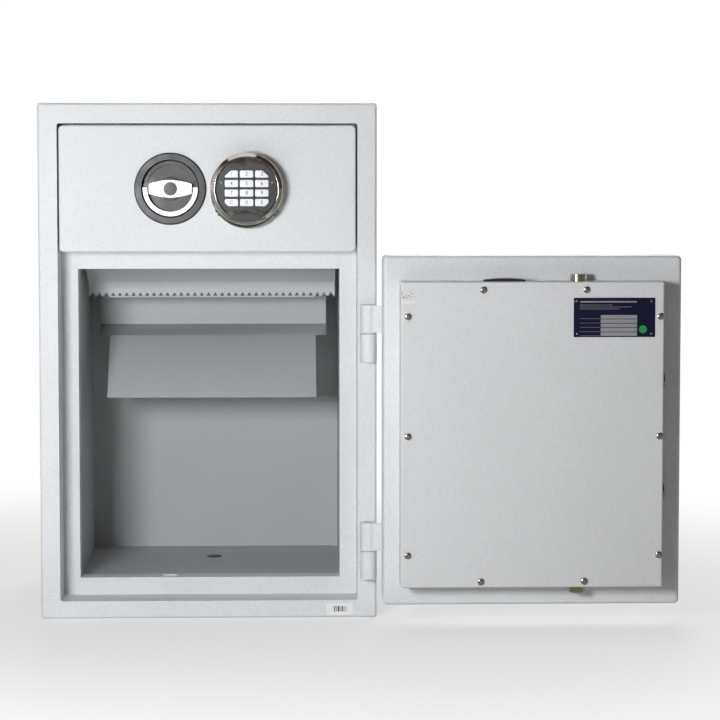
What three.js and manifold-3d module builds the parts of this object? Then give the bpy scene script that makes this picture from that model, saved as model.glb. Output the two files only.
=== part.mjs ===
// A deposit safe: a steel cabinet with a deposit drawer above a hinged door, in millimetres.
// +X is right and -Y is the front as someone faces the cabinet, +Z is up, and the origin is the
// middle of the base. The door is drawn shut and then turned open on its hinge.

import * as THREE from 'three';
import { mergeVertices } from 'three/addons/utils/BufferGeometryUtils.js';
import Module from 'manifold-3d';

const wasm = await Module();
wasm.setup();

// Cabinet
const cabinetWidth = 460;
const cabinetHeight = 705;
const cabinetDepth = 430;
const casingSheet = 3;
const casingFold = 4;
const sideBand = 26.25;
const topBand = 27.5;
const bottomBand = 24.25;
const recessDepth = 56;
const recessCorner = 3;
const sideRim = 23.25;
const bottomRim = 24;
const topRim = 25.5;
const frameSheet = 4;
const lipDepth = 32;
const drawerMouthHeight = 145.75;
const dividerHeight = 28;
const linerSheet = 2.5;
const backWall = 50;
const anchorHoleRadius = 7;
const anchorHoleBehind = 60;

// Fronts, which close flush with the cabinet
const frontThickness = 54;
const facePlate = 6;
const panSheet = 2.5;
const panFold = 5;
const faceEdge = 1.5;
const frontCorner = 6;
const hingeSideGap = 2.75;
const freeSideGap = 5;
const sillGap = 5.5;
const doorLap = 21.75;
const doorToDrawerGap = 3.25;
const drawerSideGap = 2.25;
const drawerTopGap = 2.5;

// Hinges
const hingeAxisOut = 11.5;
const hingeAxisBesideRecess = 14.75;
const knuckleRadius = 11.25;
const knuckleLength = 39;
const knuckleGap = 0.5;
const knuckleEdge = 1;
const upperHingeBelowDoorwayTop = 85.75;
const lowerHingeAboveSill = 46.25;
const hingePinRadius = 6;
const hingePinReach = 30;
const hingePinGap = 0.4;
const hingeFootHalf = 7;
const strapThickness = 6;
const strapLength = 40;
const strapClearance = 1.5;

// Boltwork cover on the inside of the door
const coverDepth = 46;
const coverSheet = 2;
const coverEdge = 2;
const coverCorner = 2.5;
const coverFreeInset = 11.5;
const coverHingeInset = 0.75;
const coverBottomInset = 12;
const coverTopInset = 11.25;
const coverPlugWidth = 55;
const coverPlugHeight = 4;
const coverPlugRim = 2.2;
const coverPlugDepth = 20;
const coverPlugShank = 8;
const coverPlugFromHingeSide = 138.5;

// Boltwork
const boltRadius = 11.5;
const boltEdge = 2;
const boltAxisBehindPan = 19;
const boltThrow = 16;
const boltHoleClearance = 1.25;
const sideBoltSwingInset = 6.5;
const endBoltInset = 1.75;
const sideBoltSpacing = 148;
const sideBoltLength = 45;
const endBoltLength = 56;
const guideSize = 34;
const guideLength = 15;
const guideInset = 3;
const guideClearance = 0.35;
const rodWidth = 20;
const rodThickness = 6;
const sideBarDepth = 24;
const sideBarOverhang = 15;
const camRadius = 47;
const camThickness = 6;
const camGap = 4;
const camPinRadius = 4;
const camPinStart = 20;
const camSlotClearance = 0.3;
const camSlotOverrun = 1.3;
const camBoreGap = 0.3;
const rodEndInset = 7;
const handleTurn = 90;
const spindleRadius = 6;
const spindleHoleRadius = 7;
const doorHandleX = -cabinetWidth / 8;
const doorHandleBelowMiddle = 3.25;

// Key lock in the door
const keyLockX = 47;
const lockCaseWidth = 76;
const lockCaseHeight = 72;
const lockCaseDepth = 24;
const lockCaseCorner = 4;
const keyholeRadius = 4.5;
const escutcheonRadius = 19;
const escutcheonThickness = 3;
const flapRadius = 9;
const flapThickness = 2.5;
const flapEdge = 0.6;
const flapGap = 0.3;
const flapPivotAbove = 12;
const flapPinRadius = 2;

// Flush handle, the same on the drawer and on the door
const dishRadius = 49;
const dishLip = 3;
const dishMouth = 39;
const dishWall = 2;
const dishDepth = 18;
const dishFloor = 2;
const dishPocketGap = 0.5;
const dishPocketDepth = 20;
const rotorRadius = 38;
const rotorFace = 9.5;
const rotorThickness = 5.5;
const rotorShoulder = 15.5;
const hubRadius = 9.4;
const hubProud = 1.8;
const gripProud = 1;
const gripThickness = 5;
const gripLength = 59;
const gripMiddle = 24.3;
const gripEnd = 13.5;
const gripHubGap = 0.3;
const castEdge = 0.8;
const bailInner = 30.9;
const bailOuter = 37.6;
const bailThickness = 5;
const bailProud = 1;
const bailPivotDepth = 6.5;
const bailEarRadius = 2.3;
const bailPinRadius = 1.6;
const bailPinLength = 5;
const bailPostWidth = 7;
const bailPostGap = 0.4;

// Deposit drawer
const drawerHandleX = -50.5;
const drawerControlsBelowTop = 86;
const traySideGap = 14.5;
const traySheet = 2;
const trayToBaffle = 66;
const trayFrontBelowControls = 27;
const trayRearAboveDivider = 5.75;
const trayTopGap = 12;
const trayCornerCut = 40;
const runnerWidth = 8.5;
const runnerHeight = 28;
const runnerEndGap = 50;
const runnerBelowControls = 4;
const runnerClearance = 0.3;
const railSheet = 2;
const railStart = 4;
const railEndGap = 35;
const railToTray = 1.5;
const lockBoxHalfWidth = 100;
const lockBoxBelowControls = 23;
const lockBoxTopGap = 6;
const lockBoxDepth = 32;
const lockBoxSheet = 2;
const lockBoxCorner = 3;
const lockBoxEdge = 1.5;
const latchWidth = 24;
const latchThickness = 6;
const latchThrow = 12;
const latchInset = 1.5;
const latchBelowPin = 3.5;
const latchSlotGap = 2;
const latchPlane = 16;
const latchCamPlane = 6;
const latchCamRadius = 27;
const latchCamHub = 12;
const latchPinRadius = 2.5;
const latchPinStart = 9;
const latchCamMargin = 32;

// Keypad
const keypadX = 53.5;
const keypadRadius = 49;
const keypadHousingDrop = 4.5;
const keypadHousingDepth = 20;
const keypadHousingEdge = 2;
const keypadFaceRadius = 41.3;
const keypadFaceProud = 29;
const bezelProud = 33;
const bezelBore = 41.6;
const bezelInlayProud = 30.6;
const bezelInlayHalf = 22;
const bezelTopInlay = 30;
const bezelBottomInlay = 27.5;
const bezelInlayRise = 4.5;
const keyWidth = 18.4;
const keyHeight = 10.2;
const keyPitchX = 20.5;
const keyPitchZ = 12.8;
const keyThickness = 4;
const keyEdge = 0.5;
const keyProud = 2.5;
const keyWellDepth = 3;
const keyClearance = 0.4;
const keysAboveCentre = 0.8;
const topKeyCut = [8.6, 7.6];
const bottomKeyCut = [5, 4.5];

// Chute below the drawer
const chuteSheet = 2;
const chuteSideGap = 7.5;
const chuteFlange = 24;
const chuteBendGap = 1;
const chuteBeforeBack = 180;
const chuteBendBelowDoorway = 26.25;
const chuteTeethBelowDoorway = 44.25;
const notchPitch = 9.8;
const notchWidth = 7;
const notchHeight = 5.7;
const stiffenerEndGap = 29;
const stiffenerHeight = 17;
const stiffenerBelow = 2;
const stiffenerSheet = 2;
const baffleSideGap = 18.5;
const baffleBeforeBack = 80;
const baffleFlange = 20;
const baffleFoldBelowDoorway = 90.25;
const baffleEarBeforeBack = 130;
const baffleEarBelowDoorway = 104.25;
const baffleTongueInset = 16;
const baffleTongueBeforeBack = 205;
const baffleTongueBelowDoorway = 188.25;

// Places that follow from the sizes
const front = -cabinetDepth / 2;
const back = cabinetDepth / 2;
const halfWidth = cabinetWidth / 2;
const insideHalf = halfWidth - casingSheet;
const recessHalf = halfWidth - sideBand;
const recessTop = cabinetHeight - topBand;
const rimFace = front + recessDepth;
const rimBack = rimFace + frameSheet;
const lipBack = rimFace + lipDepth;
const openingHalf = recessHalf - sideRim;
const openingTop = recessTop - topRim;
const dividerTop = openingTop - drawerMouthHeight;
const doorwayTop = dividerTop - dividerHeight;
const doorwayBottom = bottomBand + bottomRim;
const doorHandleZ = (doorwayBottom + doorwayTop) / 2 - doorHandleBelowMiddle;
const linerHalf = openingHalf + frameSheet;
const linerBottom = doorwayBottom - frameSheet;
const linerTop = openingTop + frameSheet;
const fillingFront = lipBack + linerSheet;
const innerBack = back - backWall;
const panBack = front + frontThickness;
const boltAxis = panBack + boltAxisBehindPan;

const door = {
  left: -recessHalf + freeSideGap,
  right: recessHalf - hingeSideGap,
  bottom: bottomBand + sillGap,
  top: doorwayTop + doorLap,
};
const drawer = {
  left: -recessHalf + drawerSideGap,
  right: recessHalf - drawerSideGap,
  bottom: door.top + doorToDrawerGap,
  top: recessTop - drawerTopGap,
};
const cover = {
  left: -openingHalf + coverFreeInset,
  right: openingHalf - coverHingeInset,
  bottom: doorwayBottom + coverBottomInset,
  top: doorwayTop - coverTopInset,
  back: panBack + coverDepth,
};
const hingeX = recessHalf + hingeAxisBesideRecess;
const hingeY = front - hingeAxisOut;
const upperHinge = doorwayTop - upperHingeBelowDoorwayTop;
const lowerHinge = doorwayBottom + lowerHingeAboveSill;
const sideBoltTip = -openingHalf + sideBoltSwingInset;
const topBoltTip = doorwayTop - endBoltInset;
const bottomBoltTip = doorwayBottom + endBoltInset;
const controlsZ = drawer.top - drawerControlsBelowTop;
const trayHalf = linerHalf - traySideGap;
const trayFront = panBack + traySheet;
const trayBack = innerBack - baffleBeforeBack - trayToBaffle;
const trayTop = openingTop - trayTopGap;
const lockBoxTop = openingTop - lockBoxTopGap;
const chuteHalf = linerHalf - chuteSideGap;
const chuteLip = innerBack - chuteBeforeBack;
const teethTip = doorwayTop - chuteTeethBelowDoorway;

// Materials
function finish(color, roughness, metalness) {
  return new THREE.MeshStandardMaterial({ color, roughness, metalness, flatShading: true });
}
const texturedPaint = finish('#dee1e3', 0.6, 0.1);
const smoothPaint = finish('#cfd1d2', 0.45, 0.1);
const concrete = finish('#9b9a96', 0.95, 0);
const blackPlastic = finish('#3f4043', 0.5, 0);
const satinSilver = finish('#f0f0f2', 0.35, 0.6);
const chrome = finish('#c9c6c4', 0.12, 1);
const zincSteel = finish('#b7b9bc', 0.4, 0.9);
const keySilver = finish('#eef0f3', 0.4, 0.2);

// Turns a geometry into a solid, and a solid back into a geometry
function toSolid(geometry) {
  const bare = geometry.clone();
  bare.deleteAttribute('normal');
  bare.deleteAttribute('uv');
  const merged = mergeVertices(bare, 1e-4);
  const points = merged.attributes.position;
  const index = merged.index.array;
  const corners = [new THREE.Vector3(), new THREE.Vector3(), new THREE.Vector3()];
  const faces = [];
  let volume = 0;
  for (let i = 0; i < index.length; i += 3) {
    const [a, b, c] = [index[i], index[i + 1], index[i + 2]];
    if (a === b || b === c || c === a) continue;
    corners.forEach((corner, k) => corner.fromBufferAttribute(points, index[i + k]));
    volume += corners[0].dot(corners[1].clone().cross(corners[2]));
    faces.push(a, b, c);
  }
  const outward = volume > 0 ? faces : faces.reverse();
  return new wasm.Manifold(new wasm.Mesh({
    numProp: 3,
    vertProperties: new Float32Array(points.array),
    triVerts: new Uint32Array(outward),
  }));
}

function toGeometry(solid) {
  const mesh = solid.getMesh();
  const geometry = new THREE.BufferGeometry();
  geometry.setAttribute('position', new THREE.BufferAttribute(mesh.vertProperties, 3));
  geometry.setIndex(new THREE.BufferAttribute(mesh.triVerts, 1));
  return geometry;
}

function join(first, ...others) {
  return others.reduce((whole, other) => whole.add(other), first);
}

function cut(body, ...tools) {
  return tools.reduce((rest, tool) => rest.subtract(tool), body);
}

// A solid drawn by an outline and run along an axis. The outline lies in Y-Z for x, in X-Z for y
// and in X-Y for z, its arcs take twice curveSegments, and its two ends are rounded by soft
function extrude(outline, axis, from, to, soft = 0, curveSegments = 3) {
  const length = to - from;
  const geometry = new THREE.ExtrudeGeometry(outline, {
    depth: length - 2 * soft,
    curveSegments,
    bevelEnabled: soft > 0,
    bevelThickness: soft,
    bevelSize: soft,
    bevelOffset: -soft,
    bevelSegments: soft < panFold ? 1 : 3,
  });
  const points = geometry.attributes.position;
  const near = 1e-4;
  for (let i = 0; i < points.count; i++) {
    const [u, v] = [points.getX(i), points.getY(i)];
    const run = points.getZ(i) + soft;
    const place = run < near ? from : run > length - near ? to : from + run;
    const mirrored = run < near ? to : run > length - near ? from : to - run;
    if (axis === 'x') points.setXYZ(i, place, u, v);
    else if (axis === 'y') points.setXYZ(i, u, mirrored, v);
    else points.setXYZ(i, u, v, place);
  }
  return toSolid(geometry);
}

function rectangle(u0, u1, v0, v1, radius = 0) {
  const shape = new THREE.Shape();
  if (radius === 0) {
    shape.moveTo(u0, v0).lineTo(u1, v0).lineTo(u1, v1).lineTo(u0, v1).closePath();
    return shape;
  }
  shape.moveTo(u0 + radius, v0).lineTo(u1 - radius, v0);
  shape.absarc(u1 - radius, v0 + radius, radius, -Math.PI / 2, 0);
  shape.lineTo(u1, v1 - radius);
  shape.absarc(u1 - radius, v1 - radius, radius, 0, Math.PI / 2);
  shape.lineTo(u0 + radius, v1);
  shape.absarc(u0 + radius, v1 - radius, radius, Math.PI / 2, Math.PI);
  shape.lineTo(u0, v0 + radius);
  shape.absarc(u0 + radius, v0 + radius, radius, Math.PI, 1.5 * Math.PI);
  shape.closePath();
  return shape;
}

function polygon(points) {
  return new THREE.Shape(points.map(([u, v]) => new THREE.Vector2(u, v)));
}

function circle(u, v, radius) {
  return new THREE.Shape().absarc(u, v, radius, 0, 2 * Math.PI);
}

function block([x0, x1], [y0, y1], [z0, z1]) {
  return extrude(rectangle(x0, x1, y0, y1), 'z', z0, z1);
}

// A round bar along an axis, its centre given in the plane across that axis
function rod(axis, [u, v], from, to, radius, soft = 0, sides = 24) {
  return extrude(circle(u, v, radius), axis, from, to, soft, sides / 2);
}

// A body turned about the Y direction, its profile given as radius and y
function turned(profile, [x, z], sides = 28) {
  const points = [...profile, profile[0]].map(([radius, y]) => new THREE.Vector2(radius, y));
  const geometry = new THREE.LatheGeometry(points, sides);
  geometry.translate(x, 0, z);
  return toSolid(geometry);
}

// Sheet metal bent along a path of one of its faces, its thickness laid to the left of the path
function bentSheet(path, thickness) {
  const points = path.map(([u, v]) => new THREE.Vector2(u, v));
  const lefts = points.slice(1).map((point, i) => {
    const along = point.clone().sub(points[i]).normalize();
    return new THREE.Vector2(-along.y, along.x);
  });
  const offset = points.map((point, i) => {
    const before = lefts[Math.max(i - 1, 0)];
    const after = lefts[Math.min(i, lefts.length - 1)];
    const middle = before.clone().add(after).normalize();
    return point.clone().addScaledVector(middle, thickness / middle.dot(before));
  });
  return new THREE.Shape([...points, ...offset.reverse()]);
}

function mesh(name, solid, material) {
  const piece = new THREE.Mesh(toGeometry(solid), material);
  piece.name = name;
  return piece;
}

// A box with rounded edges all round
function foldedBox([x0, x1], [y0, y1], [z0, z1], radius) {
  const segments = 2;
  const frontView = extrude(rectangle(x0, x1, z0, z1, radius), 'y', y0, y1, 0, segments);
  const topView = extrude(rectangle(x0, x1, y0, y1, radius), 'z', z0, z1, 0, segments);
  const sideView = extrude(rectangle(y0, y1, z0, z1, radius), 'x', x0, x1, 0, segments);
  return frontView.intersect(topView).intersect(sideView);
}

// Cabinet
function outerCasing() {
  const body = foldedBox([-halfWidth, halfWidth], [front, back], [0, cabinetHeight], casingFold);
  const hollow = block([-insideHalf, insideHalf], [front + casingSheet, back - casingSheet],
    [casingSheet, cabinetHeight - casingSheet]);
  const mouth = extrude(rectangle(-recessHalf, recessHalf, bottomBand, recessTop, recessCorner),
    'y', front - casingSheet, front + 2 * casingSheet);
  return cut(body, hollow, mouth, anchorHole());
}

function anchorHole() {
  return rod('z', [0, anchorHoleBehind], -casingSheet, linerBottom + linerSheet, anchorHoleRadius, 0, 12);
}

function frontFrame() {
  const sleeve = extrude(rectangle(-recessHalf - frameSheet, recessHalf + frameSheet,
    bottomBand - frameSheet, recessTop + frameSheet, recessCorner + frameSheet),
  'y', front + casingSheet, rimBack);
  const recess = extrude(rectangle(-recessHalf, recessHalf, bottomBand, recessTop, recessCorner),
    'y', front, rimFace);
  const lip = block([-linerHalf, linerHalf], [rimFace, lipBack], [linerBottom, linerTop]);
  const opening = block([-openingHalf, openingHalf], [front, lipBack + casingSheet],
    [doorwayBottom, openingTop]);
  const holes = sideBoltHeights().map((z) => rod('x', [boltAxis, z],
    -linerHalf - casingSheet, -openingHalf + casingSheet, boltRadius + boltHoleClearance, 0, 16));
  holes.push(rod('z', [doorHandleX, boltAxis], linerBottom - casingSheet,
    doorwayBottom + casingSheet, boltRadius + boltHoleClearance, 0, 16));
  holes.push(latchSlot(openingTop - casingSheet, linerTop + casingSheet));
  return cut(join(cut(sleeve, recess), lip), opening, ...holes);
}

function latchSlot(bottom, top) {
  const half = latchWidth / 2 + latchSlotGap;
  const latchFace = trayFront + latchPlane;
  return block([drawerHandleX - half, drawerHandleX + half],
    [latchFace - latchSlotGap, latchFace + latchThickness + latchSlotGap], [bottom, top]);
}

function sideBoltHeights() {
  return [doorHandleZ + sideBoltSpacing / 2, doorHandleZ - sideBoltSpacing / 2];
}

function dividerBeam() {
  const outer = rectangle(rimFace, lipBack, doorwayTop, dividerTop);
  const channel = block([-openingHalf, openingHalf], [rimBack, lipBack + casingSheet],
    [doorwayTop + frameSheet, dividerTop - frameSheet]);
  const boltHole = rod('z', [doorHandleX, boltAxis], doorwayTop - casingSheet,
    doorwayTop + 2 * frameSheet, boltRadius + boltHoleClearance, 0, 16);
  return cut(extrude(outer, 'x', -openingHalf, openingHalf), channel, boltHole);
}

function innerLiner() {
  const flange = block([-insideHalf, insideHalf], [lipBack, fillingFront],
    [casingSheet, cabinetHeight - casingSheet]);
  const tub = block([-linerHalf - linerSheet, linerHalf + linerSheet],
    [lipBack, innerBack + linerSheet], [linerBottom - linerSheet, linerTop + linerSheet]);
  const hollow = block([-linerHalf, linerHalf], [front, innerBack], [linerBottom, linerTop]);
  return cut(join(flange, tub), hollow, anchorHole());
}

function barrierFilling() {
  const slab = block([-insideHalf, insideHalf], [fillingFront, back - casingSheet],
    [casingSheet, cabinetHeight - casingSheet]);
  const tub = block([-linerHalf - linerSheet, linerHalf + linerSheet],
    [front, innerBack + linerSheet], [linerBottom - linerSheet, linerTop + linerSheet]);
  return cut(slab, tub, anchorHole());
}

// The sheet under the drawer that guides an envelope back and drops it behind its toothed edge
function chutePlate() {
  const sheet = extrude(bentSheet([
    [chuteLip, teethTip],
    [chuteLip, doorwayTop - chuteBendBelowDoorway],
    [lipBack + chuteBendGap, dividerTop],
    [lipBack - chuteFlange, dividerTop],
  ], -chuteSheet), 'x', -chuteHalf, chuteHalf);
  const below = teethTip - notchHeight;
  const end = chuteHalf + notchPitch;
  const comb = [[-end, below], [end, below], [end, teethTip]];
  const count = Math.floor((2 * chuteHalf) / notchPitch);
  for (let i = count - 1; i >= 0; i--) {
    const x = (i - (count - 1) / 2) * notchPitch;
    comb.push([x + notchWidth / 2, teethTip], [x, teethTip + notchHeight],
      [x - notchWidth / 2, teethTip]);
  }
  comb.push([-end, teethTip]);
  const notches = extrude(polygon(comb), 'y', chuteLip - chuteSheet, chuteLip + 2 * chuteSheet);
  return cut(sheet, notches);
}

function chuteStiffener() {
  const half = chuteHalf - stiffenerEndGap;
  const rearFace = chuteLip + chuteSheet;
  const foot = teethTip - stiffenerBelow;
  return block([-half, half], [rearFace, rearFace + stiffenerSheet],
    [foot, foot + stiffenerHeight]);
}

// The sheet that hangs from the ceiling behind the chute and slopes forward below its fold
function rearBaffle() {
  const half = linerHalf - baffleSideGap;
  const panel = innerBack - baffleBeforeBack;
  const foot = doorwayTop - baffleTongueBelowDoorway;
  const ear = doorwayTop - baffleEarBelowDoorway;
  const sheet = extrude(bentSheet([
    [innerBack - baffleTongueBeforeBack, foot],
    [innerBack - baffleEarBeforeBack, ear],
    [panel, doorwayTop - baffleFoldBelowDoorway],
    [panel, linerTop],
    [panel + baffleFlange, linerTop],
  ], -chuteSheet), 'x', -half, half);
  const beside = [-1, 1].map((side) => {
    const span = [side * (half - baffleTongueInset), side * (half + chuteSheet)];
    return block(span.sort((a, b) => a - b), [front, panel], [foot - chuteSheet, ear]);
  });
  return cut(sheet, ...beside);
}

function drawerRail(side) {
  const web = [side * linerHalf, side * (linerHalf - railSheet)].sort((a, b) => a - b);
  const flange = [side * linerHalf, side * (trayHalf + railToTray)].sort((a, b) => a - b);
  const run = [lipBack + railStart, innerBack - railEndGap];
  const half = runnerHeight / 2 + runnerClearance;
  const bottom = controlsZ - runnerBelowControls - half;
  const top = controlsZ - runnerBelowControls + half;
  return join(block(web, run, [bottom - railSheet, top + railSheet]),
    block(flange, run, [bottom - railSheet, bottom]), block(flange, run, [top, top + railSheet]));
}

// Lift-off hinges: the cabinet carries the lower knuckle and the pin, the door hangs on it
function hingeBase(height) {
  const top = height - knuckleGap / 2;
  const knuckle = rod('z', [hingeX, hingeY], top - knuckleLength, top, knuckleRadius, knuckleEdge);
  const foot = block([hingeX - hingeFootHalf, hingeX + hingeFootHalf], [hingeY, front],
    [top - knuckleLength + knuckleEdge, top - knuckleEdge]);
  const pin = rod('z', [hingeX, hingeY], top - knuckleEdge, top + hingePinReach,
    hingePinRadius, knuckleEdge, 16);
  return join(knuckle, foot, pin);
}

function hingeLeaf(height) {
  const bottom = height + knuckleGap / 2;
  const top = bottom + knuckleLength;
  const knuckle = rod('z', [hingeX, hingeY], bottom, top, knuckleRadius, knuckleEdge);
  const bridge = front - strapClearance;
  const strap = extrude(polygon([
    [door.right - strapLength, front],
    [door.right - strapLength, front - strapThickness],
    [door.right, front - strapThickness - strapClearance],
    [hingeX - knuckleRadius / 2, hingeY - knuckleRadius / 2],
    [hingeX, hingeY],
    [hingeX - knuckleRadius / 2, bridge],
    [door.right - hingeSideGap, bridge],
    [door.right - hingeSideGap, front],
  ]), 'z', bottom + knuckleEdge, top - knuckleEdge);
  const bore = rod('z', [hingeX, hingeY], bottom - knuckleEdge, bottom + hingePinReach + knuckleEdge,
    hingePinRadius + hingePinGap, 0, 16);
  return cut(join(knuckle, strap), bore);
}

// A front that closes flush: a face plate, and behind it a pan filled with concrete
function frontPlate(edges) {
  const outline = rectangle(edges.left, edges.right, edges.bottom, edges.top, frontCorner);
  const rounded = extrude(outline, 'y', front, front + frontThickness, faceEdge);
  const keep = block([edges.left, edges.right], [front, front + facePlate],
    [edges.bottom, edges.top]);
  return rounded.intersect(keep);
}

function frontPan(edges) {
  const outline = rectangle(edges.left, edges.right, edges.bottom, edges.top, frontCorner);
  const rounded = extrude(outline, 'y', front - panFold, panBack, panFold);
  const keep = block([edges.left, edges.right], [front + facePlate, panBack],
    [edges.bottom, edges.top]);
  return cut(rounded.intersect(keep), frontHollow(edges, front));
}

function frontHollow(edges, from) {
  const inset = panSheet + panFold / 2;
  return block([edges.left + inset, edges.right - inset], [from, panBack - panSheet],
    [edges.bottom + inset, edges.top - inset]);
}

function frontFilling(edges) {
  return frontHollow(edges, front + facePlate);
}

function handlePocket(x, z) {
  return rod('y', [x, z], front - dishLip, front + dishPocketDepth,
    dishMouth + dishWall + dishPocketGap, 0, 40);
}

function spindleHole(x, z) {
  return rod('y', [x, z], front - dishLip, panBack + 2 * traySheet, spindleHoleRadius, 0, 16);
}

function keyholeBore() {
  return rod('y', [keyLockX, doorHandleZ], front - dishLip, panBack + dishLip, keyholeRadius, 0, 16);
}

// The flush handle: a fixed dish, a rotor on the spindle, the grip across it and a folding bail
function handleDish(x, z) {
  const wall = dishMouth + dishWall;
  return turned([
    [dishMouth, front + dishDepth - dishFloor],
    [dishMouth, front - dishLip + 1],
    [dishMouth + 1, front - dishLip],
    [dishRadius - 2.5, front - dishLip],
    [dishRadius - 0.7, front - dishLip + 0.9],
    [dishRadius, front - dishLip + 2.2],
    [dishRadius, front],
    [wall, front],
    [wall, front + dishDepth],
    [spindleHoleRadius, front + dishDepth],
    [spindleHoleRadius, front + dishDepth - dishFloor],
  ], [x, z]);
}

function handleRotor(x, z, end) {
  const face = front + rotorFace;
  const grip = front - gripProud + gripThickness;
  const body = turned([
    [0, front - hubProud],
    [hubRadius - 1, front - hubProud],
    [hubRadius, front - hubProud + 1],
    [hubRadius, grip],
    [rotorShoulder, grip],
    [rotorShoulder, face],
    [rotorRadius - 1, face],
    [rotorRadius, face + 1],
    [rotorRadius, face + rotorThickness],
    [spindleRadius, face + rotorThickness],
    [spindleRadius, end],
    [0, end],
  ], [x, z]);
  const postTop = front + bailPivotDepth - bailPinRadius - bailPostGap;
  const posts = [-1, 1].map((side) => {
    const outer = bailInner - bailPostGap;
    const span = [x + side * outer, x + side * (outer - bailPostWidth)].sort((a, b) => a - b);
    const half = bailPinRadius + 2;
    return block(span, [Math.max(postTop - 1, grip + bailPostGap), face + 1], [z - half, z + half]);
  });
  const bores = rod('x', [front + bailPivotDepth, z], x - bailInner, x + bailInner,
    bailPinRadius + bailPostGap / 2, 0, 12);
  const middle = block([x - bailInner + bailPostWidth, x + bailInner - bailPostWidth],
    [front, face + 1], [z - rotorRadius, z + rotorRadius]);
  return join(body, ...posts.map((post) => cut(post, cut(bores, middle))));
}

function handleGrip(x, z) {
  const half = gripLength / 2;
  const corner = 1.5;
  const outline = new THREE.Shape();
  outline.moveTo(x - half, z - gripEnd / 2 + corner);
  outline.lineTo(x - half + corner, z - gripEnd / 2);
  outline.quadraticCurveTo(x, z - gripMiddle + gripEnd / 2, x + half - corner, z - gripEnd / 2);
  outline.lineTo(x + half, z - gripEnd / 2 + corner);
  outline.lineTo(x + half, z + gripEnd / 2 - corner);
  outline.lineTo(x + half - corner, z + gripEnd / 2);
  outline.quadraticCurveTo(x, z + gripMiddle - gripEnd / 2, x - half + corner, z + gripEnd / 2);
  outline.lineTo(x - half, z + gripEnd / 2 - corner);
  outline.closePath();
  const bar = extrude(outline, 'y', front - gripProud, front - gripProud + gripThickness,
    castEdge, 8);
  return cut(bar, rod('y', [x, z], front - 2 * gripThickness, front + 2 * gripThickness,
    hubRadius + gripHubGap));
}

function handleBail(x, z) {
  const outline = new THREE.Shape();
  outline.absarc(x, z, bailOuter, Math.PI, 2 * Math.PI);
  outline.lineTo(x + bailOuter, z + bailEarRadius);
  outline.lineTo(x + bailInner, z + bailEarRadius);
  outline.lineTo(x + bailInner, z);
  outline.absarc(x, z, bailInner, 2 * Math.PI, Math.PI, true);
  outline.lineTo(x - bailInner, z + bailEarRadius);
  outline.lineTo(x - bailOuter, z + bailEarRadius);
  outline.closePath();
  const ring = extrude(outline, 'y', front - bailProud, front - bailProud + bailThickness,
    castEdge, 8);
  const pivot = front + bailPivotDepth;
  const ears = [-1, 1].flatMap((side) => {
    const inner = x + side * bailInner;
    const outer = x + side * (bailOuter - 1);
    const span = [inner, outer].sort((a, b) => a - b);
    const pin = [inner - side * bailPinLength, inner + side].sort((a, b) => a - b);
    return [rod('x', [pivot, z], ...span, bailEarRadius, 0, 16),
      block(span, [front, pivot], [z - bailEarRadius, z + bailEarRadius]),
      rod('x', [pivot, z], ...pin, bailPinRadius, 0, 12)];
  });
  return join(ring, ...ears);
}

// A slot that moves a pin straight out as its cam turns, by the same amount for each degree
function spiralSlot([x, z], startAngle, startRadius, rise, width) {
  const steps = 9;
  const sweep = THREE.MathUtils.degToRad(handleTurn);
  const before = (camSlotOverrun * width) / 2 / startRadius;
  const after = (camSlotOverrun * width) / 2 / (startRadius + rise);
  const outer = [];
  const inner = [];
  for (let i = 0; i <= steps; i++) {
    const turn = -before + (i / steps) * (sweep + before + after);
    const radius = startRadius + (rise * turn) / sweep;
    const angle = startAngle + turn;
    const point = [x + radius * Math.cos(angle), z + radius * Math.sin(angle)];
    const slope = Math.atan2(rise / sweep, radius);
    const normal = angle - slope;
    const [dx, dz] = [(width / 2) * Math.cos(normal), (width / 2) * Math.sin(normal)];
    outer.push([point[0] + dx, point[1] + dz]);
    inner.push([point[0] - dx, point[1] - dz]);
  }
  return polygon([...outer, ...inner.reverse()]);
}

// Door boltwork
function boltCam() {
  const from = boltAxis + rodThickness / 2 + camGap;
  const centre = [doorHandleX, doorHandleZ];
  const disc = rod('y', centre, from, from + camThickness, camRadius, 0, 32);
  const bore = rod('y', centre, from - 1, from + camThickness + 1, spindleRadius + camBoreGap);
  const slots = [0, 1, 2].map((quarter) => extrude(spiralSlot(centre,
    ((quarter + 1) * Math.PI) / 2, camPinStart, boltThrow,
    2 * (camPinRadius + camSlotClearance)), 'y', from - 1, from + camThickness + 1));
  return cut(disc, bore, ...slots);
}

function camPin(u, v, radius = camPinRadius) {
  const from = boltAxis + rodThickness / 2 - 1;
  return rod('y', [u, v], from, from + camGap + camThickness + 2, radius, 0, 16);
}

function endBolt(up) {
  const tip = up > 0 ? topBoltTip : bottomBoltTip;
  const root = tip - up * endBoltLength;
  const sorted = (a, b) => [Math.min(a, b), Math.max(a, b)];
  const bolt = rod('z', [doorHandleX, boltAxis], ...sorted(root, tip), boltRadius, boltEdge);
  const rodEnd = doorHandleZ + up * (camPinStart - rodEndInset);
  const bar = block([doorHandleX - rodWidth / 2, doorHandleX + rodWidth / 2],
    [boltAxis - rodThickness / 2, boltAxis + rodThickness / 2], sorted(root + up, rodEnd));
  return join(bolt, bar, camPin(doorHandleX, doorHandleZ + up * camPinStart));
}

function sideBolt(z) {
  return rod('x', [boltAxis, z], sideBoltTip, sideBoltTip + sideBoltLength, boltRadius, boltEdge);
}

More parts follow.
